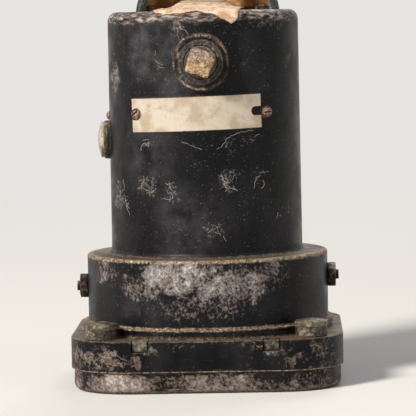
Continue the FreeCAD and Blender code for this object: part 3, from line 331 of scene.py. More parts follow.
# Black baking enamel on a cast case, seventy years old: satin black, worn to grey oxide and
# pinkish primer, with tan dust packed in every corner
enamelLook = {
    "fresh": "#0b0b0d", "hazed": "#242326", "specular": 0.15, "dustAndSheenTone": "#58565a", "grit": "#958a7d",
    # what shows where the paint is thinned: the darkest first, grains of bare metal last
    "oxide": [(0.53, "#121112"), (0.60, "#2d2928"), (0.66, "#504a47"), (0.72, "#716a66"), (0.79, "#8f8987"),
              (0.87, "#b5b0b0"), (0.95, "#e2dfe3")],
    # the rub tones show rubbed wear, and on the top rear edge also a painted highlight
    "browned": "#d3bdae", "rubAndSheen": [(0.25, "#453a35"), (0.5, "#80706a"), (0.74, "#c2b2a8")],
    "dust": [(0.3, "#76624f"), (0.5, "#b89c80"), (0.72, "#ecdcc4")], "levelDust": "#423a35",
    "fibre": "#aaa6a1", "flake": "#a08f7b",
    "primer": [(0.35, "#4b3a34"), (0.6, "#73605a"), (0.78, "#97857e")],
    # size across, low, high, detail, roughness, seed and stretch of each mottle
    "grains": {
        "fine": (0.85, 0.0, 1.0, 5.0, 0.75, 11), "clots": (2.2, 0.0, 1.0, 4.0, 0.6, 15),
        "coarse": (5.5, 0.0, 1.0, 4.0, 0.6, 5), "warm": (4.0, 0.45, 0.62, 3.0, 0.5, 41),
        "haze": (12.0, 0.40, 0.70, 5.0, 0.62, 3, (1, 1, 0.6)), "powder": (7.0, 0.30, 0.75, 6.0, 0.7, 59),
        "streaks": (3.2, 0.34, 0.62, 5.0, 0.66, 47, (1, 1, 3.6)), "hair": (2.4, 0.0, 1.0, 3.0, 0.6, 37),
        "broken": (1.3, 0.40, 0.62, 2.0, 0.5, 101), "flakes": (5.0, 0.40, 0.55, 2.0, 0.5, 97),
        "specks": (0.5, 0.675, 0.74, 2.0, 0.5, 53), "packed": (0.8, 0.34, 0.60, 5.0, 0.75, 67),
        "settled": (2.4, 0.36, 0.66, 6.0, 0.72, 71), "dust": (0.7, 0.0, 1.0, 4.0, 0.7, 73),
        "smooth": (9.0, 0.3, 0.7, 4.0, 0.6, 83), "orangePeel": (0.35, 0.2, 0.8, 2.0, 0.5, 91),
        "bossDust": (4.5, 0.36, 0.60, 3.0, 0.6, 107),
    },
    # a thin film of grey dust on the paint, heaviest on the upper left, where it is also a painted sheen of the
    # key light
    "dustFilmsAndSheen": [
        ((-15, -25, 102), (14, 14, 14), 0.75), ((-7, -29, 94), (10, 8, 14), 0.5),
        ((-6, -29, 48), (16, 10, 16), 0.42), ((-17, -25, 72), (12, 12, 20), 0.4),
        ((-20, -33, 24), (14, 12, 6), 0.3), ((8, 28, 80), (18, 12, 30), 0.5),
    ],
    # centre, reach and strength of the worn regions, as the photograph shows them; the strong one on the ring's
    # front is also a painted highlight
    "worn": [
        ((-9, -37, 34), (24, 14, 8.5), 0.62), ((9, -37, 32), (24, 13, 9), 0.56),
        ((-2, -37, 27), (26, 13, 9), 0.38), ((20, -32, 34), (10, 12, 6), 0.40),
        # the patch at (-5, -37, 35) is wear and a painted highlight of the key light on the ring's front
        ((-20, -33, 31), (9, 12, 7), 0.42), ((-5, -37, 35), (11, 10, 6), 0.72),
        ((-31, -20, 35), (10, 14, 6), 0.46), ((-34, -14, 24), (7, 12, 8), 0.14),
        ((-26, -38, 3), (17, 10, 5.4), 0.86), ((4, -38, 2.6), (26, 10, 5), 0.58),
        ((30, -36, 3), (16, 12, 5), 0.40), ((-39, -28, 4), (6, 14, 6), 0.62),
        ((-39, -32, 10), (7, 10, 8), 0.36), ((-29, -39, 10), (9, 6, 6), 0.34),
        ((33, -36, 10), (12, 9, 7), 0.30), ((20, -40, 13), (5, 5, 3), 0.42), ((-17, -40, 13), (5, 5, 3), 0.34),
        ((2, -29, 47), (4, 8, 3), 0.20), ((-9.5, -28, 59), (3.2, 8, 4.5), 0.26),
        ((7, -28, 62.5), (3, 8, 4.5), 0.32), ((-17, -24, 60.5), (6, 9, 5), 0.30),
        ((-16.8, -24, 73.5), (1.8, 6, 1.8), 0.52), ((-5, -32, 97), (4, 5, 7), 0.42),
        ((-1, -32, 92.2), (5, 4, 2), 0.50), ((4, -32, 103), (4, 4, 2), 0.30),
        ((-26.5, -12, 58), (3, 9, 7), 0.40), ((-27, -11, 92), (2.4, 9, 11), 0.46),
        ((-7, -28, 107.5), (2.2, 6, 3.2), 0.52), ((22, -20, 109), (9, 10, 3), 0.32),
        ((26.5, -12, 98), (2.5, 9, 6), 0.22), ((26, -14, 52), (3, 8, 3), 0.26),
        ((0, 37, 30), (26, 14, 9), 0.46), ((38, 0, 12), (8, 26, 8), 0.34), ((-30, 26, 8), (16, 16, 8), 0.42),
        ((12, 27, 72), (8, 8, 12), 0.30), ((-20, 22, 96), (7, 8, 9), 0.30), ((-37, 0, 8), (8, 22, 8), 0.38),
        ((0, 38, 3), (30, 10, 5), 0.5), ((38, 4, 3), (8, 28, 5), 0.46),
    ],
    # where hair-thin scuffs and lint lie in tufts
    "tufts": [
        ((-17, -24, 60.5), (6.5, 10, 5.5), 0.9), ((-9.5, -28, 58.5), (4, 10, 6), 0.8),
        ((7.5, -28, 61.5), (5, 10, 6), 1.0), ((2.5, -29, 47), (7, 10, 5), 0.7),
        ((16, -25, 64), (6, 10, 4), 0.6), ((-25.5, -14, 57), (4, 10, 10), 0.8),
        ((-26, -13, 93), (4, 10, 14), 0.7), ((10, -28, 74), (9, 10, 4.5), 0.6),
        ((-7, -28, 107), (4, 10, 5), 0.8), ((-14, -26, 99), (8, 10, 10), 0.35),
        ((25, -16, 52), (5, 10, 5), 0.6), ((24, -16, 98), (6, 10, 14), 0.35), ((30, -24, 11), (12, 20, 6), 0.8),
        ((-31, -30, 11), (12, 20, 6), 0.8), ((10, 28, 70), (12, 12, 26), 0.6),
    ],
    # where lifted flakes have left pale outlines
    "flaking": [
        ((-30, -34, 10.5), (14, 16, 5.5), 1.0), ((31, -34, 10), (13, 16, 6), 1.0),
        ((2, -40, 3), (34, 8, 5), 0.6), ((-17, -40, 13), (6, 8, 3), 0.8), ((18, -40, 13), (6, 8, 3), 0.8),
        ((32, 32, 8), (16, 16, 9), 0.8), ((-32, 30, 8), (14, 16, 9), 0.8),
    ],
    "primerChips": [
        ((-20.5, -40, 9.6), (2.6, 6, 3.2), 1.0), ((-36, -38, 12.5), (4, 6, 3.6), 0.8),
        ((-15, -40, 13.6), (3, 5, 1.8), 0.5), ((22, -40, 12), (2.5, 5, 3), 0.5),
        ((38, -30, 12), (3, 9, 4), 0.5), ((30, 38, 9), (6, 6, 5), 0.8), ((-33, -38, 3), (5, 6, 3), 0.72),
        ((-12, -38, 4), (9, 6, 2), 0.6), ((16, -38, 4), (8, 6, 2), 0.6), ((-38, 28, 9), (5, 6, 4), 0.8),
    ],
    # bands round the axis: height, half height, inner radius, strength
    "dustyRims": [
        (38.75, 1.0, 35.4, 1.0), (39.1, 0.5, 29.4, 0.36), (18.5, 0.7, 36.0, 1.0), (15.7, 0.5, 37.0, 0.40),
    ],
    "rubbedRims": [(38.2, 1.0, 35.4, 0.16), (17.3, 1.2, 38.0, 0.10), (14.8, 0.9, 39.0, 0.22)],
    # the top rear edge band is rubbed wear and a painted highlight; the front edge band is rubbed wear
    "rubbedEdgesAndSheen": [(112.2, 3.4, 24.5, 1.05), (0.6, 1.0, 36.0, 0.6)],
    "seam": (6.35, 0.36, 20.0, 1.0), "warmFoot": (3.0, 7.0, 10.0, 1.0),
    "portBoss": {"x": 0.0, "z": portHeight, "radius": 8.1, "half": 0.75, "front": -28.5},
}


def bossRing(finish, place, grain, ring):
    # dust round the port's boss, its mask stronger towards the left
    x, y, z = finish.split(place)
    away = finish.distance(place, (ring["x"], 0, ring["z"]), (1, 0, 1))
    band = abs(away - ring["radius"] * mm).spread(ring["half"] * mm, ring["half"] * 0.2 * mm)
    band = band * y.spread((ring["front"] + 0.5) * mm, ring["front"] * mm) * grain("bossDust", place)
    return band * x.spread(12 * mm, -6 * mm, 0.45, 1.0)


def wornEnamel(spec):
    finish = Finish("worn black baking enamel on a casting")

    def grain(word, place=None):
        return finish.mottle(*spec["grains"][word], place=place)

    ragged = finish.wander(4.0, 2.6)
    fine, clots, coarse = grain("fine"), grain("clots"), grain("coarse")
    # wear and grain add up, so a worn region fades out into its brightest grains
    worn = finish.patches(ragged, spec["worn"])
    facing = finish.split(finish.facing)[2]
    sheltered = facing.spread(-0.9, -0.5, 0.1, 1.0)  # the dial side sees little wear
    edge = finish.cavity(1.0, 0.35, 0.92, inside=True)
    worn = worn * sheltered | edge * 0.24 | finish.rims(ragged, spec["rubbedRims"])
    level = fine * 0.50 + clots * 0.24 + coarse * 0.26 + worn * 0.40
    film = level.spread(0.60, 0.70)
    warm = grain("warm") | finish.rims(finish.place, [spec["warmFoot"]])
    oxide = level.tones(spec["oxide"]).coat(warm * 0.62, spec["browned"], "MULTIPLY")
    colour = finish.plain(spec["fresh"]).coat(grain("haze") * 0.7, spec["hazed"])
    # grey dust film, partly a painted sheen on the upper left of the case
    colour = colour.coat(finish.patches(ragged, spec["dustFilmsAndSheen"]) * grain("powder"), spec["dustAndSheenTone"])
    colour = colour.coat(film, oxide)
    # edges that hands have rubbed go streaky brown-grey; along the top rear edge the band is also a painted
    # highlight
    streaks = grain("streaks")
    rubbedAndSheen = finish.rims(ragged, spec["rubbedEdgesAndSheen"]) * streaks * sheltered
    colour = colour.coat(rubbedAndSheen * 0.85, (fine * 0.4 + streaks * 0.5).tones(spec["rubAndSheen"]))
    # primer chips have a hard outline and little grain
    primer = (finish.patches(ragged, spec["primerChips"]) + clots * 0.6).spread(0.93, 0.99)
    colour = colour.coat(primer * 0.92, fine.tones(spec["primer"]))
    # hair scratches in tufts: thin ridges of a distorted noise
    tuft = (finish.patches(ragged, spec["tufts"]) + clots * 0.9).spread(0.86, 1.35)
    fibre = abs(grain("hair", ragged) - 0.5).spread(0.045, 0.004) * tuft * grain("broken")
    colour = colour.coat(fibre * 0.45, spec["fibre"])
    # outlines where flakes of paint have lifted, on the lower castings
    flaking = finish.patches(ragged, spec["flaking"]) * grain("flakes")
    lifted = abs(coarse - 0.56).spread(0.040, 0.010) * flaking
    colour = colour.coat(lifted * 0.62, spec["flake"]).coat(grain("specks") * 0.55, spec["grit"])
    # dust packed in the corners and along rims, and a thin layer on what faces up
    corner = finish.cavity(1.5, 0.40, 0.80)
    packed = grain("packed")
    upward = facing.spread(0.35, 0.9)
    settled = upward * grain("settled")
    colour = colour.coat(settled * 0.6, spec["levelDust"])
    dust = (corner * 0.62 | (edge | corner) * upward) * 0.85
    dust = dust | finish.rims(finish.wander(2.0, 0.5), spec["dustyRims"])
    dust = dust | finish.rims(finish.place, [spec["seam"]])
    dust = (dust | bossRing(finish, finish.wander(2.2, 0.5), grain, spec["portBoss"])) * packed
    colour = colour.coat(dust * 0.9, grain("dust").tones(spec["dust"]))
    matte = film | dust | settled * 0.8
    roughness = grain("smooth").spread(0.0, 1.0, 0.30, 0.46) + matte * 0.34
    pits = grain("orangePeel") * 0.10 + film * (fine - 0.8) + primer * -0.35 + dust * 0.4
    feed(finish.tree, finish.shader, {"Specular IOR Level": spec["specular"]})
    return finish.dress(colour, roughness, pits, 0.24, 0.8)


# Metals and simple finishes share one build: two or three tones in grains, dirt in the corners,
# rubbed edges and a fine relief. The recipe says how the real surface was made.
recipes = {  # tones, grain size, metallic, roughness, dirt and its reach, edges, relief
    "cast brass with verdigris": (  # nuts left bare, gone green-grey, coppery on their edges
        [(0.26, "#2f2c26"), (0.45, "#534e42"), (0.64, "#726b5b"), (0.82, "#a1947d")],
        1.5, 0.45, (0.42, 0.68), "#2a211a", 1.4, "#a5805f", 0.10),
    "blackened brass collar": (  # turned washers under the nuts, blackening rubbed to dull grey in patches
        [(0.25, "#1f1d1b"), (0.45, "#423c36"), (0.62, "#6d6458"), (0.8, "#a89c8c")],
        0.9, 0.3, (0.4, 0.7), "#6d5c4a", 1.6, "#998e7c", 0.12),
    "enamelled brass bushing": (  # black paint mostly left, tan dust caught in its turning marks
        [(0.35, "#171514"), (0.56, "#2c2723"), (0.70, "#55483d"), (0.82, "#a8917a")],
        1.4, 0.1, (0.4, 0.62), "#3d332a", 1.2, "#7c6d58", 0.12),
    "rusted plated steel": (  # small screws, plating gone to brown rust
        [(0.3, "#33231d"), (0.5, "#664840"), (0.7, "#967466"), (0.85, "#c4a898")],
        0.7, 0.55, (0.32, 0.58), "#1a100c", 1.0, "#c4a594", 0.07),
    "worn copper-plated steel": (  # dark facets, bright pink-copper where spanners rubbed
        [(0.3, "#141110"), (0.5, "#2b2421"), (0.72, "#5f4e47"), (0.88, "#ab9084")],
        1.3, 0.9, (0.28, 0.5), "#120e0c", 1.4, "#dcb9a8", 0.06),
    "oxidised white metal": (  # cast and tumbled, chalky cream bloom over soft grey, never mirror bright
        [(0.3, "#6f624f"), (0.5, "#ad9f88"), (0.75, "#d6cbb6")],
        1.4, 0.15, (0.42, 0.62), "#4a3a2b", 1.3, "#e6dccb", 0.05),
    "turned brass": (  # lathe-cut, warm even gold that darkens only in its corners
        [(0.3, "#8d6a2f"), (0.5, "#b08a45"), (0.75, "#cda65c")],
        2.2, 1.0, (0.2, 0.36), "#4b3716", 1.0, "#e0bd78", 0.012),
    "ground spring steel": (  # fine even grey with sharp small highlights
        [(0.3, "#8c8e92"), (0.5, "#a6a8ac"), (0.75, "#c3c5c8")],
        1.4, 1.0, (0.18, 0.32), "#3a3a3a", 0.8, "#dfe0e2", 0.008),
    "sand cast aluminium": (  # pale grey, faintly grainy skin, broad soft highlights
        [(0.3, "#85868a"), (0.5, "#9c9da1"), (0.75, "#b7b8bb")],
        0.8, 0.9, (0.42, 0.6), "#45423e", 2.0, "#d2d3d5", 0.05),
    "pressed cork fibre": (  # gasket sheet, dark brown granules and no shine
        [(0.3, "#2e2119"), (0.5, "#4b382b"), (0.75, "#6a5340")],
        0.8, 0.0, (0.8, 0.95), "#1a120d", 0.8, "#7a6350", 0.06),
    "matte black dial paint": (  # sprayed thin, so dull that the marks stand out
        [(0.3, "#0f0f10"), (0.55, "#161617"), (0.8, "#212122")],
        0.6, 0.0, (0.6, 0.78), "#3a3430", 0.8, "#2b2a2a", 0.02),
    "aged luminous paint": (  # laid on thick by brush, lumpy cream gone yellow
        [(0.3, "#a89a63"), (0.5, "#cbbd86"), (0.75, "#e2d8ac")],
        0.5, 0.0, (0.6, 0.8), "#5c5028", 0.6, "#ece3be", 0.05),
    "cotton lint": (  # loose threads, matte and uneven
        [(0.3, "#6f6962"), (0.5, "#a09890"), (0.75, "#d0c8be")],
        1.0, 0.0, (0.85, 0.97), "#6b6156", 0.3, "#b5ada3", 0.01),
    "polished black agate": (  # lapped ball, one hard small highlight
        [(0.3, "#0a0a0b"), (0.6, "#121214"), (0.85, "#1e1d20")],
        1.5, 0.0, (0.05, 0.12), "#0a0a0a", 0.4, "#1c1c1e", 0.002),
}


def mixFinish(name, recipe):
    stops, size, metallic, polish, dirtTone, dirtReach, edgeTone, depth = recipe
    finish = Finish(name)
    grain = finish.mottle(size, 0.22, 0.78, 5.0, 0.62, 7)
    broad = finish.mottle(size * 6, 0.25, 0.75, 3.0, 0.5, 19)
    edge = finish.cavity(0.7, 0.4, 0.9, inside=True) * finish.mottle(0.8, 0.35, 0.6, 3.0, 0.6, 29)
    dirt = finish.cavity(dirtReach, 0.4, 0.88) * finish.mottle(0.9, 0.25, 0.6, 4.0, 0.6, 43)
    colour = (grain * 0.6 + broad * 0.4).tones(stops).coat(edge * 0.6, edgeTone).coat(dirt * 0.8, dirtTone)
    roughness = broad.spread(0.0, 1.0, *polish) + dirt * 0.25
    height = grain + finish.mottle(size * 0.35, 0.2, 0.8, 2.0, 0.5, 61)
    return finish.dress(colour, roughness, height, depth * 1.6, 0.8, metallic)


# Nameplate: cream lacquer on a thin aluminium strip, left bare, rust bled from both screws:
# a pale, mottled, half-dull face
plateLook = {
    "tones": [(0.25, "#c6b7a2"), (0.5, "#dacdba"), (0.75, "#e6dccc")], "rust": "#7d4428", "rim": "#8a7350",
    "stains": [((2.4, 0.58, 0.78, 5.0, 0.68, 13), 0.55, "#b19c80")],
    # fine scratches along the strip, drawn wider than real so that they show, and pinholes
    "marks": [((0.5, 0.66, 0.74, 2.0, 0.5, 27, (0.12, 0.12, 1.0)), 0.3, "#9d9484"),
              ((0.45, 0.71, 0.76, 1.0, 0.5, 35), 0.7, "#5a4630")],
    "screws": [((-19.9, -22.5, 82.4), (3.0, 5, 2.8), 0.72), ((18.4, -23.5, 82.8), (2.4, 5, 2.2), 0.86)],
}


def agedPlate(spec):
    finish = Finish("cream lacquered aluminium strip")
    broad = finish.mottle(5.0, 0.25, 0.75, 6.0, 0.6, 3)
    colour = finish.coats(broad.tones(spec["tones"]), spec["stains"])
    colour = colour.coat(finish.cavity(1.0, 0.35, 0.9, inside=True) * 0.35, spec["rim"])
    near = finish.patches(finish.wander(2.0, 1.6), spec["screws"])
    bled = (near + finish.mottle(1.4, 0.0, 1.0, 5.0, 0.7, 17)).spread(0.95, 1.35)
    colour = finish.coats(colour.coat(bled * 0.85, spec["rust"]), spec["marks"])
    roughness = broad.spread(0.0, 1.0, 0.38, 0.52) + bled * 0.3
    return finish.dress(colour, roughness, broad + bled * 0.8, 0.06, 0.7)


# Intake hood: spun brass, black enamel outside, old golden-brown lacquer inside
mouthCentre = (1.4, 9.0, 109.7)
hoodLook = {
    "centre": (2.561, 0.741, 109.7), "split": 22.95, "inward": (-0.1392, 0.9903, 0),
    "inside": [(0.25, "#a36e42"), (0.5, "#cf9c66"), (0.75, "#efcb98")], "spots": "#2c1a10",
    "outside": "#191719", "rubbed": "#47423f", "greyed": "#5d5a55", "dirt": "#6b5640",
}


def lacqueredHood(spec):
    finish = Finish("spun brass hood, enamelled out and lacquered in")
    away = finish.distance(finish.place, spec["centre"])
    outer = away.spread((spec["split"] - 0.08) * mm, (spec["split"] + 0.08) * mm)
    lacquer = finish.mottle(7.0, 0.25, 0.75, 5.0, 0.6, 3).tones(spec["inside"])
    lacquer = lacquer.coat(finish.mottle(0.8, 0.62, 0.72, 3.0, 0.6, 9) * 0.5, spec["spots"])
    rubs = finish.mottle(1.2, 0.55, 0.68, 5.0, 0.7, 15)
    broad = finish.mottle(4.0, 0.56, 0.70, 6.0, 0.72, 21)
    enamel = finish.plain(spec["outside"]).coat(rubs * 0.45, spec["rubbed"]).coat(broad * 0.55, spec["greyed"])
    # how deep behind the mouth: the bead under the rolled rim is dark too
    offset = addNode(finish.tree, "VectorMath", {"operation": "SUBTRACT"}, {
        0: finish.place, 1: tuple(c * mm for c in mouthCentre)})
    depth = addNode(finish.tree, "VectorMath", {"operation": "DOT_PRODUCT"}, {0: offset, 1: spec["inward"]})
    outer = outer | Value(finish.tree, depth.outputs["Value"]).spread(1.7 * mm, 1.4 * mm)
    dirt = finish.cavity(3.0, 0.35, 0.8) * finish.mottle(1.5, 0.3, 0.6, 4.0, 0.6, 33)
    colour = lacquer.coat(outer, enamel).coat(dirt * 0.6, spec["dirt"])
    return finish.dress(colour, rubs.spread(0.0, 1.0, 0.3, 0.55), broad + rubs, 0.05, 0.7, 0.15)


# The rim rolled inward round the hood's mouth: enamel worn through in rings, verdigris on its inner edge
rimLook = {"from": 19.6, "to": 22.7, "flecks": "#8e8f86", "pits": "#1d1c1b", "rings": [
    (0.0, "#93a398"), (0.16, "#7c8378"), (0.26, "#2a2a27"), (0.42, "#4a4944"), (0.52, "#1b1a1a"),
    (0.66, "#33322f"), (0.78, "#6b6a63"), (0.86, "#232221"), (1.0, "#171617")]}


def ringedRim(spec):
    finish = Finish("rolled brass rim, enamel worn to verdigris")
    away = finish.distance(finish.wander(2.5, 0.35), mouthCentre)
    share = Value(finish.tree, addNode(finish.tree, "MapRange", {}, {
        "Value": away, "From Min": spec["from"] * mm, "From Max": spec["to"] * mm}))
    flecks = finish.mottle(0.9, 0.50, 0.68, 5.0, 0.7, 11)
    pits = finish.mottle(1.4, 0.52, 0.66, 4.0, 0.6, 23)
    colour = share.tones(spec["rings"]).coat(flecks * 0.55, spec["flecks"]).coat(pits * 0.7, spec["pits"])
    return finish.dress(colour, pits.spread(0.0, 1.0, 0.38, 0.6), flecks - pits, 0.08, 0.8, 0.2)


# Sealing paper: brittle brown wrapping paper torn off round the nipple
paperLook = {"tones": [(0.25, "#c19878"), (0.5, "#e2c0a0"), (0.75, "#f2dac0")], "dirt": "#86644a",
             "neck": "#c8b596", "neckFrom": 115.42, "neckShade": "#5f4a35"}


def tornPaper(spec):
    finish = Finish("creased wrapping paper")
    fibre = finish.mottle(0.5, 0.25, 0.75, 5.0, 0.7, 3, (1.0, 0.35, 1.0))
    both = fibre * 0.45 + finish.mottle(3.0, 0.3, 0.7, 4.0, 0.6, 9) * 0.55
    colour = both.tones(spec["tones"]).coat(finish.mottle(1.6, 0.56, 0.74, 5.0, 0.7, 27) * 0.6, spec["dirt"])
    # pressed round the neck it is paler, with a painted shade line round the foot of the neck
    height = finish.split(finish.wander(1.5, 0.06))[2]
    start = spec["neckFrom"] * mm
    colour = colour.coat(height.spread(start, start + 0.12 * mm), spec["neck"])
    neckShadeLine = abs(height - (start + 0.2 * mm)).spread(0.13 * mm, 0.05 * mm, 0.0, 0.8)
    return finish.dress(colour.coat(neckShadeLine, spec["neckShade"]), fibre.spread(0.0, 1.0, 0.75, 0.95), both, 0.08, 0.9)


# Crust on the plug: brass under minerals, pinkish grey above, golden below, with dark pits and painted shade in
# its hollows
crustLook = {"above": [(0.25, "#4f3f38"), (0.5, "#8f766a"), (0.75, "#bda89b")], "turnsAt": 98.8, "pit": "#2b1d14",
             "below": [(0.25, "#634a37"), (0.5, "#a88764"), (0.75, "#d8be99")], "spot": "#9a5431"}


def mineralCrust(spec):
    finish = Finish("brass under a mineral crust")
    fine = finish.mottle(0.6, 0.3, 0.7, 4.0, 0.7, 13)
    both = finish.mottle(1.3, 0.22, 0.78, 5.0, 0.65, 7) * 0.6 + fine * 0.4
    height = finish.split(finish.wander(2.0, 1.6))[2]
    upper = height.spread((spec["turnsAt"] - 0.9) * mm, (spec["turnsAt"] + 0.9) * mm)
    pits = finish.mottle(1.5, 0.60, 0.70, 4.0, 0.6, 21)
    spots = finish.mottle(1.1, 0.64, 0.72, 3.0, 0.6, 33)
    colour = both.tones(spec["below"]).coat(upper, both.tones(spec["above"])).coat(pits * 0.75, spec["pit"])
    # the pit colour laid in every hollow within 2.6 mm is painted shade round the head's foot
    colour = colour.coat(spots * 0.6, spec["spot"]).coat(finish.cavity(2.6, 0.30, 0.85) * 0.85, spec["pit"])
    return finish.dress(colour, fine.spread(0.0, 1.0, 0.42, 0.66), both - pits * 0.5, 0.3, 0.9, 0.12)


# Window and tube glass: float glass with faint dust, so its roughness isn't the same all over
def clearGlass(name, tintHex):
    finish = Finish(name)
    dusty = finish.mottle(2.5, 0.45, 0.8, 5.0, 0.65, 5).spread(0.0, 1.0, 0.02, 0.16)
    feed(finish.tree, finish.shader, {
        "Base Color": toLinear(tintHex), "Transmission Weight": 1.0, "IOR": 1.5, "Roughness": dusty})
    return finish.material


finishes = {name: mixFinish(name, recipe) for name, recipe in recipes.items()}
finishes.update({
    "worn black enamel": wornEnamel(enamelLook), "plate": agedPlate(plateLook), "hood": lacqueredHood(hoodLook),
    "hood rim": ringedRim(rimLook), "paper": tornPaper(paperLook), "corroded plug": mineralCrust(crustLook),
    "window glass": clearGlass("dusty float glass", "#f4f7f5"),
    "tube glass": clearGlass("drawn glass tube with damping spirit", "#e6efe2"),
})
print("stage:", len(finishes), "finishes mixed")

# Which finish each carried-over CAD node takes
wearers = {
    "worn black enamel": "case_body bezel",
    "hood": "intake_hood",
    "pressed cork fibre": "bezel_gasket glass_seal paper_seal",
    "window glass": "cover_glass",
    "tube glass": "inclinometer_tube",
    "cast brass with verdigris": "mounting_nuts pipe_plug intake_screen bezel_nuts",
    "blackened brass collar": "mounting_collars",
    "enamelled brass bushing": "port_bushing",
    "oxidised white metal": "adjuster_cap suction_nipple",
    "plate": "nameplate",
    "rusted plated steel": "bezel_screws nameplate_screws cap_lock_screw hood_screws adjuster_cap_washer",
    "worn copper-plated steel": "side_studs side_nuts",
    "turned brass": "glass_retainer front_bearing rear_bearing cage_pillars rotor jet_tube needle_bushing "
                    "dashpot_cylinder dashpot_piston balance_weights inclinometer_clips dial_posts "
                    "rotor_bearings",
    "ground spring steel": "bridge_screws gimbal_pivots crank_arm damping_arm rotor_shaft needle_staff "
                           "needle_fork damping_screw sensitivity_screw centring_spring dial_screws "
                           "reference_wires spring_bracket",
    "sand cast aluminium": "mechanism_plate front_bridge rear_bridge gimbal_frame",
    "matte black dial paint": "dial",
    "aged luminous paint": "needle",
    "polished black agate": "inclinometer_ball",
}
for finishName, names in wearers.items():
    for name in names.split():
        mesh = parts[name].data
        mesh.materials.clear()
        mesh.materials.append(finishes[finishName])
print("stage: CAD nodes finished")

# Piece helpers: all that is added here sits on the case
def addPiece(name, mesh, replaced=(), finish=None):
    piece = linkObject(name, mesh)
    if finish is not None:
        mesh.materials.clear()
        mesh.materials.append(finishes[finish])
    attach(piece, "instrument_case")
    if replaced:
        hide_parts(*replaced)
    return piece


def roundedCopy(node, width, segments, finish, angle=28):
    # the CAD node's own shape with its sharp edges worn round
    mesh = parts[node].data.copy()
    work = bmesh.new()
    work.from_mesh(mesh)
    bmesh.ops.remove_doubles(work, verts=work.verts, dist=0.000002)
    bmesh.ops.dissolve_limit(work, angle_limit=math.radians(1), verts=work.verts, edges=work.edges)
    bmesh.ops.recalc_face_normals(work, faces=work.faces)
    sharp = [e for e in work.edges if e.is_manifold and e.calc_face_angle(0) > math.radians(angle)]
    bmesh.ops.bevel(work, geom=sharp, offset=width * mm, segments=segments, profile=0.5,
                    affect="EDGES", clamp_overlap=True)
    bmesh.ops.triangulate(work, faces=[f for f in work.faces if len(f.verts) > 4])
    work.to_mesh(mesh)
    work.free()
    mesh.shade_smooth()
    mesh.set_sharp_from_angle(angle=math.radians(35))
    addPiece(node + "_worn", mesh, [node], finish)


# Torn paper: a fan from the nipple over the rear boss and face, one tongue over the front edge
paperShape = {
    "innerRadius": 5.68, "bossTopRadius": 6.4, "bossTop": 115.8, "bossFootRadius": 11.0, "bodyTop": 113.0,
    "edgeRadius": 29.45, "edgeRounding": 3.0, "lift": 0.12, "collarHeight": 0.12, "thickness": 0.18,
    "spokes": 180, "rings": 34,
    # torn outline: azimuth in degrees against radius in mm
    "outline": [(-180, 12.6), (-160, 12.8), (-146, 14.6), (-134, 18.2), (-126, 22.6), (-121, 27.2), (-117, 28.4),
                (-110, 28.6), (-98, 28.2), (-90, 28.0), (-82, 29.2), (-76, 31.0), (-72, 32.6), (-70.5, 32.6),
                (-68, 30.8), (-65.5, 27.6), (-60, 23.0), (-49, 17.6), (-38, 14.2), (-20, 12.8),
                (0, 12.4), (30, 11.8), (60, 12.2), (90, 11.6), (120, 12.6), (150, 13.4), (180, 14.5)],
}


def paperReach(spec, azimuth):
    outline = spec["outline"]
    for (before, low), (after, high) in zip(outline, outline[1:]):
        if before <= azimuth <= after:
            share = (azimuth - before) / (after - before)
            straight = low + (high - low) * share
            turn = math.radians(azimuth)
            ragged = noise.noise(Vector((math.cos(turn) * 9, math.sin(turn) * 9, 1.7))) * 0.9
            ragged += noise.noise(Vector((math.cos(turn) * 31, math.sin(turn) * 31, 4.1))) * 0.45
            return straight + ragged
    return outline[0][1]


def paperPoint(spec, turn, travel):
    # follows the cone of the boss, the flat rear face and then the rounded rear edge downwards
    cone = Vector((spec["bossFootRadius"] - spec["bossTopRadius"], spec["bodyTop"] - spec["bossTop"]))
    flatEnd = spec["edgeRadius"] - spec["edgeRounding"]
    # stretched like a tent towards the front (1), lying on the cone elsewhere (0)
    tent = max(0.0, math.cos(1.7 * min(abs(turn + math.radians(93)), math.radians(53))))
    if travel < spec["bossTopRadius"]:
        radius, height = travel, spec["bossTop"]
    elif travel < spec["bossFootRadius"]:
        share = (travel - spec["bossTopRadius"]) / cone.x
        radius, height = travel, spec["bossTop"] + cone.y * share
    elif travel < flatEnd:
        radius, height = travel, spec["bodyTop"]
    else:
        bend = min((travel - flatEnd) / spec["edgeRounding"], math.radians(78))
        radius = flatEnd + (spec["edgeRounding"] + spec["lift"]) * math.sin(bend)
        height = spec["bodyTop"] - spec["edgeRounding"] * (1 - math.cos(bend))
        spare = travel - flatEnd - spec["edgeRounding"] * bend
        radius += spare * math.cos(math.radians(78))
        height -= spare * math.sin(math.radians(78))
    slope = max(0.0, min(1.0, (travel - spec["bossTopRadius"]) / (flatEnd - spec["bossTopRadius"])))
    draped = spec["bodyTop"] + (spec["bossTop"] - spec["bodyTop"]) * (1 - slope) ** 1.5
    height += max(0.0, draped - height) * tent if travel < flatEnd else 0.0
    spot = Vector((radius * math.cos(turn), radius * math.sin(turn), height + spec["lift"]))
    out = max(0.0, min(1.0, (travel - 7.5) / 5.0))
    out *= 1.0 - 0.8 * max(0.0, min(1.0, (travel - 17.0) / 8.0))
    crease = noise.noise(Vector((math.cos(turn) * 3.1, math.sin(turn) * 3.1, travel * 0.10)))
    crumple = noise.noise(spot * 0.55 + Vector((7, 3, 0)))
    rise = max(0.0, crease * 1.1 + 0.16) + max(0.0, crumple * 0.7 + 0.08)
    away = Vector((math.cos(turn), math.sin(turn), 0)) if travel > flatEnd + 1.5 else Vector((0, 0, 1))
    return spot + away * rise * out * 0.62


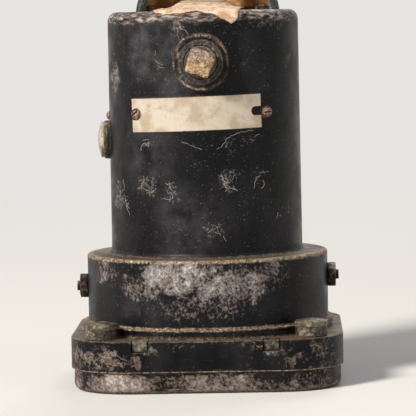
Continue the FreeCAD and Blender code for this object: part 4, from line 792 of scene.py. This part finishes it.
def buildPaper(spec):
    points = []
    rings = spec["rings"]
    inner = spec["innerRadius"]
    for spoke in range(spec["spokes"]):
        azimuth = -180 + 360 * spoke / spec["spokes"]
        turn = math.radians(azimuth)
        for ring in (-2, -1):  # the collar that still stands against the nipple
            wave = noise.noise(Vector((math.cos(turn) * 4, math.sin(turn) * 4, 9.0)))
            rise = spec["collarHeight"] * (0.75 + 0.5 * wave) * (-ring / 2)
            points.append((inner * math.cos(turn), inner * math.sin(turn), spec["bossTop"] + spec["lift"] + rise))
        reach = paperReach(spec, azimuth) - inner
        points += [paperPoint(spec, turn, inner + 0.15 + reach * ring / (rings - 1)) for ring in range(rings)]
    column = rings + 2
    faces = []
    for start in range(0, spec["spokes"] * column, column):
        following = (start + column) % (spec["spokes"] * column)
        for ring in range(column - 1):
            faces.append((start + ring, start + ring + 1, following + ring + 1, following + ring))
    paper = addPiece("torn_paper", meshOf("torn_paper", points, faces), ["paper_seal"], "paper")
    thick = paper.modifiers.new("thickness", "SOLIDIFY")
    thick.thickness = spec["thickness"] * mm
    thick.offset = 1.0


buildPaper(paperShape)
print("stage: paper torn")

# Corroded plug: a square head whose corners have been eaten round, on its round thread
plugShape = {
    "half": 3.78, "faceY": bushingLow[1] / mm, "length": 7.0, "turn": 18.6, "z": portHeight, "corner": 9.0,
    "threadRadius": 5.12, "threadLength": 5.3, "lump": 0.5, "pit": 0.22, "sides": 96, "rings": 30,
    "straight": 0.93, "crown": 9, "threadSteps": 7, "threadEnd": 0.35,
}


def plugProfile(spec):
    # (section, depth, size) from the thread's far end to the middle of the crowned head
    steps = spec["threadSteps"]
    profile = [("round", spec["threadLength"] * (1 - step / steps), spec["threadRadius"])
               for step in range(steps)]
    profile.append(("round", 0.0, spec["threadRadius"] - spec["threadEnd"]))
    for step in range(spec["rings"]):
        share = step / (spec["rings"] - 1)
        profile.append(("square", -spec["length"] * share * spec["straight"], spec["half"]))
    for step in range(1, spec["crown"]):
        bend = math.radians(90) * step / spec["crown"]
        profile.append(("square", -spec["length"] * (spec["straight"] + (1 - spec["straight"]) * math.sin(bend)),
                        spec["half"] * (0.15 + 0.85 * math.cos(bend) ** 0.45)))
    return profile


def plugPoint(spec, kind, depth, size, around):
    c, s = math.cos(around), math.sin(around)
    if kind == "round":
        return (c * size, spec["faceY"] + depth - 0.02, s * size + spec["z"])
    reach = size / (abs(c) ** spec["corner"] + abs(s) ** spec["corner"]) ** (1 / spec["corner"])
    lump = noise.noise(Vector((c * reach * 0.45, s * reach * 0.45, depth * 0.4 + 3)))
    pit = noise.noise(Vector((c * reach * 1.6, s * reach * 1.6, depth * 1.4 + 8)))
    reach += lump * spec["lump"] - abs(pit) * spec["pit"] - 0.1
    turned = around - math.radians(spec["turn"])
    return (reach * math.cos(turned), spec["faceY"] + depth - 0.02, reach * math.sin(turned) + spec["z"])


def buildPlug(spec):
    profile = plugProfile(spec)
    sides = spec["sides"]
    points = [plugPoint(spec, *ring, 2 * math.pi * side / sides) for ring in profile for side in range(sides)]
    faces = []
    for start in range(0, (len(profile) - 1) * sides, sides):
        for side in range(sides):
            following = (side + 1) % sides
            faces.append((start + side, start + sides + side, start + sides + following, start + following))
    faces.append(tuple(range(sides)))
    faces.append(tuple(reversed(range((len(profile) - 1) * sides, len(profile) * sides))))
    mesh = meshOf("corroded_plug", points, faces)
    mesh.materials.append(finishes["corroded plug"])
    mesh.materials.append(finishes["blackened brass collar"])
    for face in mesh.polygons:  # the round thread is blackened, the square head carries the crust
        face.material_index = 1 if face.center.y > (spec["faceY"] - 0.05) * mm else 0
    work = bmesh.new()
    work.from_mesh(mesh)
    bmesh.ops.recalc_face_normals(work, faces=work.faces)
    work.to_mesh(mesh)
    work.free()
    mesh.set_sharp_from_angle(angle=math.radians(50))
    addPiece("corroded_plug", mesh, ["pipe_plug"])


buildPlug(plugShape)
print("stage: plug made")

# Nuts and collars with worn corners
wornEdges = [
    ("mounting_nuts", 0.45, 3, "cast brass with verdigris"),
    ("mounting_collars", 0.5, 3, "blackened brass collar"),
    ("side_nuts", 0.35, 3, "worn copper-plated steel"),
    ("bezel_nuts", 0.3, 2, "cast brass with verdigris"),
    ("adjuster_cap", 0.25, 3, "oxidised white metal"),
    ("adjuster_cap_washer", 0.2, 2, "blackened brass collar"),
]
for node, width, segments, finish in wornEdges:
    roundedCopy(node, width, segments, finish)
print("stage: nuts and cap worn")


# Geometry Nodes: each tree is built once here and turned into a plain mesh by its user
def newTree(name, *inputs):
    # every input is a length or an angle, but for the whole number of cells
    tree = bpy.data.node_groups.new(name, "GeometryNodeTree")
    for label in ("Geometry",) + inputs:
        kind = {"Geometry": "Geometry", "cells": "Int"}.get(label, "Float")
        tree.interface.new_socket(label, in_out="INPUT", socket_type="NodeSocket" + kind)
    tree.interface.new_socket("Geometry", in_out="OUTPUT", socket_type="NodeSocketGeometry")
    return tree, addNode(tree, "GroupInput").outputs


def endTree(tree, geometry, finish):
    whole = addNode(tree, "RealizeInstances", {}, {"Geometry": geometry})
    dressed = addNode(tree, "SetMaterial", {}, {"Geometry": whole, "Material": finish})
    addNode(tree, "GroupOutput", {}, {"Geometry": dressed})
    return tree


def placeEach(tree, given, piece, sizes={}):
    # a copy of the piece on every point, turned as the point says
    turns = addNode(tree, "InputNamedAttribute", {"data_type": "FLOAT_VECTOR"}, {"Name": "turn"})
    turn = addNode(tree, "EulerToRotation", {}, {0: turns})
    return addNode(tree, "InstanceOnPoints", {}, {
        "Points": given["Geometry"], "Instance": piece, "Rotation": turn, **sizes})


def sweep(tree, path, radius, sides, caps=True):
    section = addNode(tree, "CurvePrimitiveCircle", {}, {"Resolution": sides, "Radius": radius})
    return addNode(tree, "CurveToMesh", {}, {"Curve": path, "Profile Curve": section, "Fill Caps": caps})


def wires(tree, mesh, resolution, radius):
    # the edges of a mesh as smooth round wires
    curves = addNode(tree, "MeshToCurve", {}, {"Mesh": mesh})
    smooth = addNode(tree, "CurveSplineType", {"spline_type": "CATMULL_ROM"}, {"Curve": curves})
    finer = addNode(tree, "SetSplineResolution", {}, {"Geometry": smooth, "Resolution": resolution})
    return sweep(tree, finer, radius, 6)


def growMesh(name, tree, spec, base, others={}):
    # runs the tree on the base mesh and keeps only the result; an input is the spec's size of that name in mm
    holder = linkObject(name + "_grower", base)
    modifier = holder.modifiers.new("grow", "NODES")
    modifier.node_group = tree
    for socket in tree.interface.items_tree:
        if socket.in_out == "INPUT" and socket.name != "Geometry":
            modifier[socket.identifier] = others[socket.name] if socket.name in others else spec[socket.name] * mm
    view = bpy.context.evaluated_depsgraph_get()
    grown = bpy.data.meshes.new_from_object(holder.evaluated_get(view), preserve_all_data_layers=True,
                                            depsgraph=view)
    holder.modifiers.remove(modifier)
    bpy.data.objects.remove(holder)
    grown.name = name
    return grown


def placesMesh(name, places):
    # one vertex per screw, with the way it faces and how its slot lies
    mesh = bpy.data.meshes.new(name)
    mesh.from_pydata([tuple(c * mm for c in spot) for spot, facing, slot in places], [], [])
    turns = mesh.attributes.new("turn", "FLOAT_VECTOR", "POINT")
    for index, (spot, facing, slot) in enumerate(places):
        twist = Matrix.Rotation(math.radians(slot), 3, "Z").to_quaternion()
        tilt = Vector(facing).to_track_quat("Z", "Y") @ twist
        turns.data[index].vector = tilt.to_euler()
    return mesh


# Round-head screws: the outer part of a ball, with a sawn slot
def roundHeadTree(finish):
    tree, given = newTree("roundHeadScrews", "radius", "dome", "slotWidth", "slotDepth")
    ball = addNode(tree, "MeshUVSphere", {}, {"Segments": 40, "Rings": 24, "Radius": 1.0})
    shape = addNode(tree, "CombineXYZ", {}, {0: given["radius"], 1: given["radius"], 2: given["dome"]})
    ball = addNode(tree, "Transform", {}, {"Geometry": ball, "Scale": shape})
    saw = addNode(tree, "CombineXYZ", {}, {0: 0.02, 1: given["slotWidth"], 2: given["slotDepth"]})
    blade = addNode(tree, "MeshCube", {}, {"Size": saw})
    lifted = addNode(tree, "CombineXYZ", {}, {2: given["dome"]})
    blade = addNode(tree, "Transform", {}, {"Geometry": blade, "Translation": lifted})
    sawn = addNode(tree, "MeshBoolean", {"operation": "DIFFERENCE", "solver": "EXACT"}, {
        "Mesh 1": ball, "Mesh 2": blade})
    smooth = addNode(tree, "SetShadeSmooth", {}, {"Geometry": sawn})
    return endTree(tree, placeEach(tree, given, smooth), finish)


screwSets = {  # every place is a seat in mm, the way the head faces and the turn of its slot
    "plate_screws": {
        "replaces": "nameplate_screws", "finish": "rusted plated steel",
        "radius": 1.72, "dome": 1.25, "slotWidth": 0.52, "slotDepth": 1.3,
        "ring": 30.03, "angles": [(-41.5, 32), (40.1, 6)], "z": 82.4,
    },
    "hood_round_screws": {
        "replaces": "hood_screws", "finish": "rusted plated steel",
        "radius": 1.3, "dome": 1.0, "slotWidth": 0.4, "slotDepth": 1.0,
        "places": [((18.19, 14.32, 114.0), (0, 0, 1), 20), ((7.57, 20.83, 114.0), (0, 0, 1), 75),
                   ((-7.79, 18.67, 114.0), (0, 0, 1), 130), ((-16.21, 9.49, 114.0), (0, 0, 1), 48)],
    },
    "cap_set_screw": {
        "replaces": "cap_lock_screw", "finish": "rusted plated steel",
        "radius": 1.3, "dome": 0.98, "slotWidth": 0.36, "slotDepth": 0.9,
        "places": [((-29.33, 0, 81.3), (-1, 0, 0), 35)],
    },
    "dial_round_screws": {
        "replaces": "dial_screws", "finish": "ground spring steel",
        "radius": 1.6, "dome": 0.6, "slotWidth": 0.45, "slotDepth": 0.7,
        "places": [((-27.04, 0, 11.0), (0, 0, -1), 12), ((27.04, 0, 11.0), (0, 0, -1), 64)],
    },
}


def buildScrews(name, spec):
    places = list(spec.get("places", []))
    for angle, slot in spec.get("angles", []):
        turn = math.radians(angle)
        out = Vector((math.sin(turn), -math.cos(turn), 0))
        places.append(((*(out * spec["ring"]).xy, spec["z"]), out, slot))
    mesh = growMesh(name, roundHeadTree(finishes[spec["finish"]]), spec, placesMesh(name + "_at", places))
    mesh.set_sharp_from_angle(angle=math.radians(40))
    addPiece(name, mesh, [spec["replaces"]])


for name, spec in screwSets.items():
    buildScrews(name, spec)
print("stage:", len(screwSets), "sets of round-head screws made")

# Intake screen: plain weave of brass wire in a turned ring
screenShape = {"centre": (0, 15.4), "low": 113.0, "radius": 3.4, "rim": 0.34, "pitch": 0.62, "wire": 0.13,
               "rise": 0.15}


def weaveTree(finish):
    # two sets of wires from one grid: every other crossing goes over, the rest under
    tree, given = newTree("wovenWire", "radius", "cells", "wire", "rise", "rim")
    radius, cells, rise = (Value(tree, given[word]) for word in ("radius", "cells", "rise"))
    across = radius * 2.0
    grid = addNode(tree, "MeshGrid", {}, {
        "Size X": across, "Size Y": across, "Vertices X": cells, "Vertices Y": cells})
    away = addNode(tree, "VectorMath", {"operation": "LENGTH"}, {0: addNode(tree, "InputPosition")})
    outside = addNode(tree, "Compare", {"operation": "GREATER_THAN"}, {0: away.outputs["Value"], 1: radius})
    # crossings are counted along the grid, so that neighbours differ in sign
    index = Value(tree, addNode(tree, "InputIndex"))
    column = index.math("DIVIDE", cells).math("FLOOR")
    sign = (index + column).math("FLOORED_MODULO", 2.0) * 2.0 - 1.0
    whole = addNode(tree, "JoinGeometry")
    for axis in (0, 1):
        ends = addNode(tree, "InputMeshEdgeVertices").outputs
        span = addNode(tree, "VectorMath", {"operation": "SUBTRACT"}, {0: ends[2], 1: ends[3]})
        reach = abs(Value(tree, addNode(tree, "SeparateXYZ", {}, {0: span}).outputs[axis]))
        crosswise = addNode(tree, "Compare", {"operation": "GREATER_THAN"}, {0: reach, 1: 0.00001})
        lift = addNode(tree, "CombineXYZ", {}, {2: sign * (rise * (1.0 - 2.0 * axis))})
        raised = addNode(tree, "SetPosition", {}, {"Geometry": grid, "Offset": lift})
        lines = addNode(tree, "DeleteGeometry", {"domain": "EDGE", "mode": "EDGE_FACE"}, {
            "Geometry": raised, "Selection": crosswise})
        lines = addNode(tree, "DeleteGeometry", {"domain": "POINT"}, {"Geometry": lines, "Selection": outside})
        feed(tree, whole, {0: wires(tree, lines, 3, given["wire"])})
    ring = addNode(tree, "CurvePrimitiveCircle", {}, {"Resolution": 64, "Radius": radius - given["rim"]})
    feed(tree, whole, {0: sweep(tree, ring, given["rim"], 12, False)})
    return endTree(tree, addNode(tree, "SetShadeSmooth", {}, {"Geometry": whole}), finish)


def buildScreen(spec):
    cells = 2 * round(spec["radius"] / spec["pitch"]) + 1
    mesh = growMesh("woven_screen", weaveTree(finishes["turned brass"]), spec, bpy.data.meshes.new("screenStart"),
                    {"cells": cells})
    mesh.transform(Matrix.Translation(Vector((*spec["centre"], spec["low"] + spec["rim"])) * mm))
    addPiece("woven_screen", mesh, ["intake_screen"])


buildScreen(screenShape)
print("stage: intake screen woven")

# Rolled rim of the hood: one round section swept about the mouth
hoodRim = {"turn": 8.0, "radius": 21.19, "section": 1.5, "from": 9.7, "to": 170.3}


def rimTree(finish):
    tree, given = newTree("rolledRim", "radius", "section", "start", "sweep")
    path = addNode(tree, "CurveArc", {"mode": "RADIUS"}, {
        "Resolution": 160, "Radius": given["radius"], "Start Angle": given["start"],
        "Sweep Angle": given["sweep"]})
    swept = sweep(tree, path, given["section"], 20)
    return endTree(tree, addNode(tree, "SetShadeSmooth", {}, {"Geometry": swept}), finish)


def buildRim(spec):
    mesh = growMesh("hood_rim", rimTree(finishes["hood rim"]), spec, bpy.data.meshes.new("rimStart"), {
        "start": math.radians(spec["from"]), "sweep": math.radians(spec["to"] - spec["from"])})
    # the arc is drawn flat, then stood up in the mouth and turned with it
    upright = Matrix.Rotation(math.radians(90), 4, "X")
    turned = Matrix.Rotation(math.radians(spec["turn"]), 4, "Z")
    mesh.transform(Matrix.Translation(Vector(mouthCentre) * mm) @ turned @ upright)
    mesh.set_sharp_from_angle(angle=math.radians(50))
    addPiece("hood_rim", mesh)


buildRim(hoodRim)
print("stage: hood rim rolled")

# Lint: hair-thin threads lying on the case, single ones along (x, height) and tufts of short ones
lintShape = {
    "radius": 0.05, "clear": 0.03, "step": 0.35, "waver": 0.22, "seed": 41,
    "threads": [
        [(-6.2, 74.3), (-4.5, 73.4), (-2.3, 72.5), (-0.2, 71.8)],
        [(4.5, 71.5), (6.0, 73.0), (7.2, 74.7), (8.5, 75.7), (10.2, 76.1), (11.5, 76.7), (15.2, 76.9)],
        [(5.6, 64.3), (6.1, 62.0), (6.5, 60.3), (7.6, 59.8), (9.1, 60.1), (10.2, 59.0)],
        [(6.7, 63.8), (7.5, 62.3), (6.6, 61.0), (6.8, 60.1)],
        [(-6.4, 109.6), (-5.8, 108.2), (-4.6, 107.0), (-3.4, 105.9)],
        [(-24.3, 58.0), (-23.9, 56.0), (-23.5, 54.0), (-22.6, 51.8)],
        [(-24.6, 62.5), (-24.5, 60.9), (-24.2, 59.9)],
    ],
    # centre, spread and number of the short threads in a tuft
    "tufts": [
        (-17.8, 61.4, 2.0, 8), (-15.0, 59.6, 1.6, 8), (-10.0, 60.4, 1.4, 6), (-9.4, 57.4, 1.0, 3),
        (2.2, 48.4, 2.2, 6), (4.6, 46.9, 1.4, 3), (16.0, 62.4, 2.0, 4), (-24.2, 55.5, 1.4, 4),
        (-18.0, 73.6, 0.9, 3), (15.2, 74.0, 1.2, 2), (-13.0, 98.5, 2.6, 3), (7.2, 61.6, 0.8, 4),
        (22.0, 51.5, 1.2, 2),
    ],
}


def layThread(surface, spec, flatPoints):
    # drops a thread's points from in front of the case straight back onto it
    laid = []
    for x, z in flatPoints:
        hit = surface.ray_cast(Vector((x * mm, -60 * mm, z * mm)), Vector((0, 1, 0)))
        if hit[0] is not None and hit[0].y < -5 * mm:
            laid.append(hit[0] + hit[1] * spec["clear"] * mm)
    return laid


def lintPaths(spec):
    dice = random.Random(spec["seed"])
    paths = []
    for line in spec["threads"]:
        fine = []
        for (x1, z1), (x2, z2) in zip(line, line[1:]):
            pieces = max(2, round(math.hypot(x2 - x1, z2 - z1) / spec["step"]))
            fine += [(x1 + (x2 - x1) * i / pieces, z1 + (z2 - z1) * i / pieces) for i in range(pieces)]
        fine.append(line[-1])
        wavered = []
        for x, z in fine:
            push = noise.noise_vector(Vector((x * 0.9, z * 0.9, 3.0))) * spec["waver"] * 2
            wavered.append((x + push.x, z + push.z))
        paths.append(wavered)
    for x, z, spreadOut, count in spec["tufts"]:
        for _ in range(count):
            spot = [x + dice.gauss(0, spreadOut * 0.5), z + dice.gauss(0, spreadOut * 0.5)]
            heading = dice.uniform(0, 2 * math.pi)
            bend = dice.uniform(-0.2, 0.2)
            path = []
            for _ in range(dice.randint(3, 10)):
                path.append(tuple(spot))
                spot[0] += math.cos(heading) * spec["step"]
                spot[1] += math.sin(heading) * spec["step"]
                heading += bend + dice.uniform(-0.2, 0.2)
            paths.append(path)
    return paths


def lintTree(finish):
    tree, given = newTree("lintThreads", "radius")
    return endTree(tree, wires(tree, given["Geometry"], 2, given["radius"]), finish)


def buildLint(spec):
    case = parts["case_body"].data
    surface = BVHTree.FromPolygons([v.co for v in case.vertices], [tuple(f.vertices) for f in case.polygons])
    points = []
    edges = []
    for path in lintPaths(spec):
        laid = layThread(surface, spec, path)
        edges += [(len(points) + i, len(points) + i + 1) for i in range(len(laid) - 1)]
        points += laid
    base = bpy.data.meshes.new("lintLines")
    base.from_pydata(points, edges, [])
    mesh = growMesh("lint_threads", lintTree(finishes["cotton lint"]), spec, base)
    mesh.set_sharp_from_angle(angle=math.radians(70))
    addPiece("lint_threads", mesh)


buildLint(lintShape)
print("stage: lint laid")

# Dial marks: cream paint laid on thick, an index above the needle and one standard-turn mark each side
dialMarks = {
    "face": 11.0, "thick": 0.14, "pivot": (0, -10.0), "corner": 0.35,
    # turn about the pivot in degrees, radius of the middle, width, length
    "bars": [(0, 36.6, 3.0, 5.6), (-20, 36.0, 2.2, 5.2), (20, 36.0, 2.2, 5.2)],
}


def paintTree(finish):
    tree, given = newTree("paintedBars", "corner", "thick")
    outline = addNode(tree, "CurvePrimitiveQuadrilateral", {}, {"Width": 0.002, "Height": 0.002})
    rounded = addNode(tree, "FilletCurve", {"mode": "POLY"}, {
        "Curve": outline, "Count": 5, "Radius": given["corner"]})
    filled = addNode(tree, "FillCurve", {"mode": "NGONS"}, {"Curve": rounded})
    bar = addNode(tree, "ExtrudeMesh", {}, {
        "Mesh": filled, "Offset Scale": given["thick"], "Individual": False})
    sizes = addNode(tree, "InputNamedAttribute", {"data_type": "FLOAT_VECTOR"}, {"Name": "size"})
    return endTree(tree, placeEach(tree, given, bar, {"Scale": sizes}), finish)


def buildMarks(spec):
    places = []
    x, y = spec["pivot"]
    for angle, radius, width, length in spec["bars"]:
        turn = math.radians(angle)
        spot = (x - radius * math.sin(turn), y + radius * math.cos(turn), spec["face"])
        places.append((spot, (0, 0, -1), -angle))
    base = placesMesh("dial_marks_at", places)
    sizes = base.attributes.new("size", "FLOAT_VECTOR", "POINT")
    for index, (angle, radius, width, length) in enumerate(spec["bars"]):
        sizes.data[index].vector = (width / 2, length / 2, 1)
    addPiece("dial_marks", growMesh("dial_marks", paintTree(finishes["aged luminous paint"]), spec, base))


buildMarks(dialMarks)
print("stage: dial marks painted")
